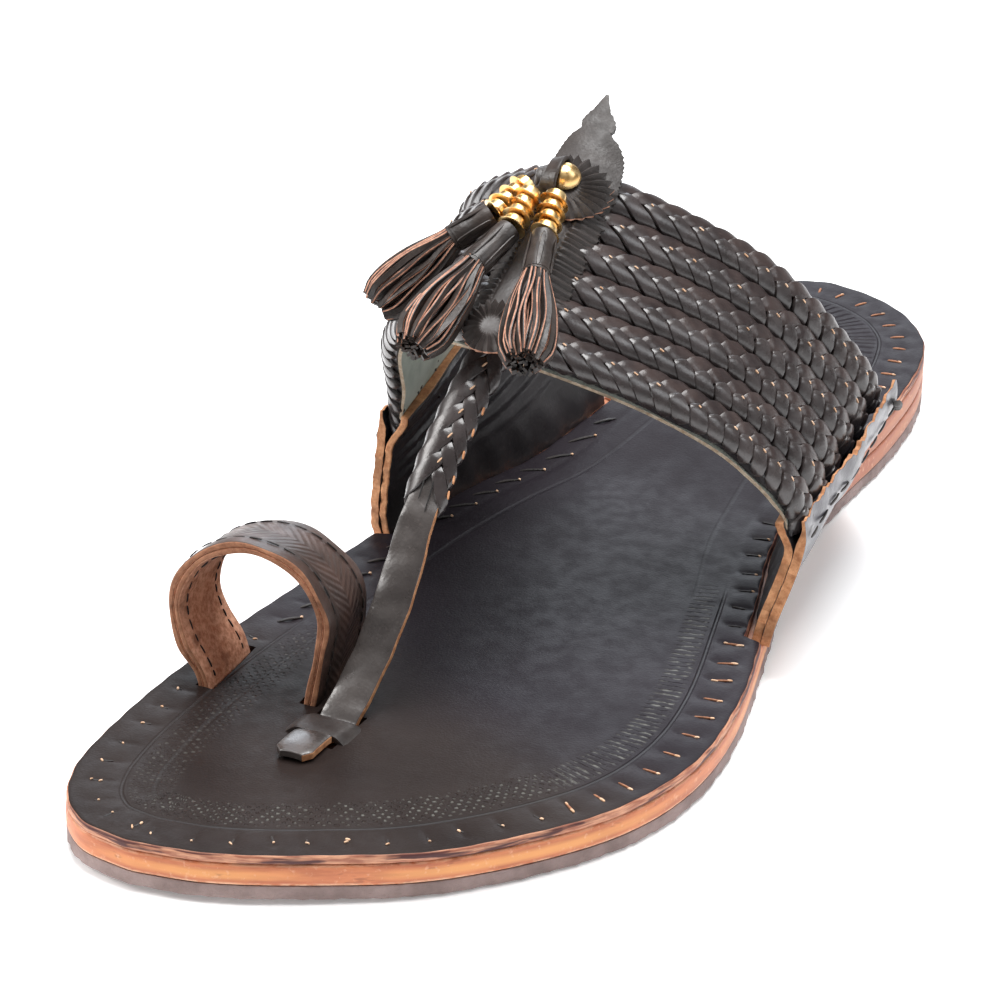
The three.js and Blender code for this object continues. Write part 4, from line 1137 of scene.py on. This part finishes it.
def on_strap(s, c, h):
    """A place s mm down the strap, c mm beside its middle and h mm above it, and its directions there."""
    s, c, h = np.broadcast_arrays(*(np.asarray(v, float) for v in (s, c, h)))
    t = unit(read(s, STRAP_S, STRAP_TANGENT))
    p = read(s, STRAP_S, STRAP_FINE[:, :3]) + t * np.minimum(s, 0)[..., None]
    across = unit(STRAP_ACROSS - t * (t @ STRAP_ACROSS)[..., None])
    up = np.cross(t, across)
    return p + across * c[..., None] + up * h[..., None], across, up


def strap_pill(builder, s, c, h, *sizes):
    ends, _, up = on_strap(s, c, h)
    builder.pill(*ends, up[0], *sizes)


def toe_strap():
    b = Builder()
    strands = []
    for apex in -9.8 + 4.9 * np.arange(7):
        strands += [(apex - 1.5, -1, 0.66, 1.5, -18.0, 0), (apex + 0.9, 1, 0.6, 1.3, 4.0, 0)]
        if apex >= 0:
            strap_pill(b, (apex - 0.3, apex + 0.8), (1.0, 0.5), (1.05, 1.1), 0.16, 0.18, 2)
    plait(b, lambda d, c, h: on_strap(d, c, h)[0], strands, 4.0, 2.3, -1.1, 0.42, 6)
    b.sweep(*on_strap(np.linspace(-6, 27, 40), 0, -0.9), 3.3, 0.7, STRIP)
    b.done("toe_strap_plait", [mat_braid, mat_tan_dark, mat_fleck], "toe_strap")
    end = STRAP_S[-1]
    s = np.concatenate([np.linspace(22.5, end - 6, 90), np.linspace(end - 5.9, end, 26)])[:, None]
    f = np.linspace(1, -1, 15)
    width, thick = (read(s[:, 0], STRAP_S, STRAP_FINE[:, 3:]) * [0.5, 1]).T[..., None]
    width = np.minimum(width, 3.55) * (0.84 + 0.16 * ramp(24, 42, s))
    tail = 1 - 0.34 * np.clip((s - (end - 1.8)) / 1.8, 0, 1)
    wave = (0.12 * np.sin(s * 0.33 + f * 2) + 0.05 * np.sin(s * 1.3 + f)) * ramp(end - 12, end - 20, s)
    crown = 0.275 * (1 - f ** 2) - 1.1 * ramp(31, 25, s) - 0.12 * np.abs(f) ** 8
    c = f * width * lerp(1, tail, np.abs(f)) + 0.06 * np.sin(s * 0.7)
    high = 0.5 * np.minimum(thick, 1.8) + crown + wave
    top, bottom = on_strap(s, c, high)[0], on_strap(s, c, high - 1.35)[0]
    Builder().slab(top, bottom, rim_mat=lambda r, col: int(col == 0)).done(
        "toe_strap_tail", [mat_strap, mat_tan], "toe_strap", ["toe_strap"], bevel=0.2)
    b = Builder()
    for c0, *ends in ((0.9, 21.5, 29.5), (-0.9, 23.0, 27.5)):
        strap_pill(b, ends, (c0, c0 + 0.3), (0.75, 1.12), 0.16, 0.14, 0)
    for s0 in (7.5, 12.0, 16.5, 21.5, 24.5):
        strap_pill(b, (s0, s0 + 1.6), (3.95, 4.3), (-0.4, -0.2), 0.22, 0.25, 1)
    b.done("toe_strap_slits", [mat_slit, mat_tan], "toe_strap")


toe_strap()


# Toe loop: an outer leather and a suede lining, stitched together in two rows
LOOP_KEYS = np.array([(-42.4, 6.9), (-43.6, 10.7)]
                     + [(LOOP["x"] + LOOP["radius"] * math.cos(a), LOOP["z"] + LOOP["radius"] * math.sin(a))
                        for a in np.radians(np.linspace(208, -18, 9))] + [(-19.0, 11.7), (-19.6, 6.9)])


def on_loop(share, back, depth, step=1e-3):
    """A place of the toe loop: share along it, back 0 to 1 across its width, depth under its outer face."""
    share, back, depth = np.broadcast_arrays(*(np.asarray(v, float) for v in (share, back, depth)))
    t = unit(spline(LOOP_KEYS, share + step) - spline(LOOP_KEYS, share - step))
    x, z = np.moveaxis(spline(LOOP_KEYS, share), -1, 0)
    x, z = x + t[..., 1] * depth, z - t[..., 0] * depth
    lower = back * LOOP["lower_rear"] * ramp(INSOLE_TOP, LOOP["z"] + LOOP["radius"], z)
    x, y = loop_turned(x + back * LOOP["lean_rear"], LOOP["front"] + back * LOOP["width"])
    return np.stack([x, y, z - lower], -1)


def toe_loop():
    share, back = np.linspace(0, 1, 130)[:, None], np.linspace(1, 0, 22)[None]
    s = travelled(spline(LOOP_KEYS, share[:, 0]))[:, None]
    place = back + 0.012 * np.sin(s * 0.5) * (1 - 2 * back)
    soft = 0.16 * np.sin(s * 0.45) * np.sin(back * 3 + 1) + 0.3 * (2 * np.abs(back - 0.5)) ** 6
    wide, along = (back + 0 * share - 0.5) * LOOP["width"], s + 0 * back
    for name, outer, inner, face, node, slot in (
            ("toe_loop_leather", soft, 1.35, mat_tooled, "toe_loop_outer", "toe_loop"),
            ("toe_loop_suede", 1.45, 2.7 - soft * 0.8, mat_suede, "toe_loop_lining", "toe_loop_lining")):
        Builder().slab(on_loop(share, place, outer), on_loop(share, place, inner), (0, 1, 2), along=along,
                       wide=wide).done(name, [face, mat_suede, mat_tan_dark], slot, [node], bevel=0.3)
    b = Builder()
    count = int(s[-1, 0] / 2.9)
    for row in (0.16, 0.84):
        for face, depth in ((1, 0.0), (-1, 2.7)):
            for k in range(count):
                a = np.clip([(k + 0.14) / count, (k + 0.86) / count], 0.045, 0.955)
                if a[1] - a[0] < 0.01:
                    continue
                ends = on_loop(a, row + vary(-0.006, 0.006), depth - face * 0.05)
                up = unit(on_loop(a.mean(), row, depth - face) - on_loop(a.mean(), row, depth))
                b.pill(*ends, up, 0.17, 0.14, 0, 0.05)
    b.done("toe_loop_thread", [mat_thread], "toe_loop")


toe_loop()


# Floor, light and camera
def stage():
    n = Nodes("floor_paper")
    paper = n.finish(n.mottled((0.93, 0.93, 0.935), (0.95, 0.95, 0.955), 3, 2.0), 0.7,
                     Emission_Color=(1, 1, 1), Emission_Strength=0.2)
    mesh = bpy.data.meshes.new("floor")
    mesh.from_pydata([(x, y, -0.0003) for x, y in ((-6, -6), (6, -6), (6, 6), (-6, 6))], [], [(0, 1, 2, 3)])
    mesh.materials.append(paper)
    floor = in_scene("floor", mesh)
    world = bpy.data.worlds.new("studio")
    world.use_nodes = True
    back = world.node_tree.nodes["Background"]
    back.inputs[0].default_value = (1.0, 1.0, 1.0, 1)
    back.inputs[1].default_value = 0.24
    bpy.context.scene.world = world
    for name, place, aim, size, power, tint in (
            ("sky", (0.0, 0.15, 1.3), (0, 0, 0.03), 0.9, 27.0, (1.0, 1.0, 1.0)),
            ("left", (-0.95, -0.55, 0.75), (0, 0, 0.05), 0.55, 11.0, (1.0, 0.98, 0.96)),
            ("right", (1.0, 0.1, 0.8), (0, 0, 0.05), 0.5, 3.0, (0.94, 0.97, 1.0)),
            ("rear", (-0.45, 1.15, 0.62), (0, 0, 0.03), 0.8, 6.0, (0.86, 0.92, 1.0))):
        data = bpy.data.lights.new(name, "AREA")
        data.size, data.energy, data.color = size, power, tint
        lamp = in_scene(name, data)
        lamp.location = place
        lamp.rotation_euler = (Vector(aim) - Vector(place)).to_track_quat("-Z", "Y").to_euler()
    data = bpy.data.cameras.new("camera")
    data.sensor_width, data.lens = 36.0, 161.35
    camera = in_scene("camera", data)
    right, up = Vector((0.89743, 0.44062, 0.02164)), Vector((-0.20596, 0.37510, 0.90381))
    turn = Matrix((right, up, right.cross(up))).transposed().to_4x4()
    camera.matrix_world = Matrix.Translation((0.316326, -0.708853, 0.386889)) @ turn
    bpy.context.scene.camera = camera
    bpy.context.scene.view_settings.view_transform = "Standard"


stage()
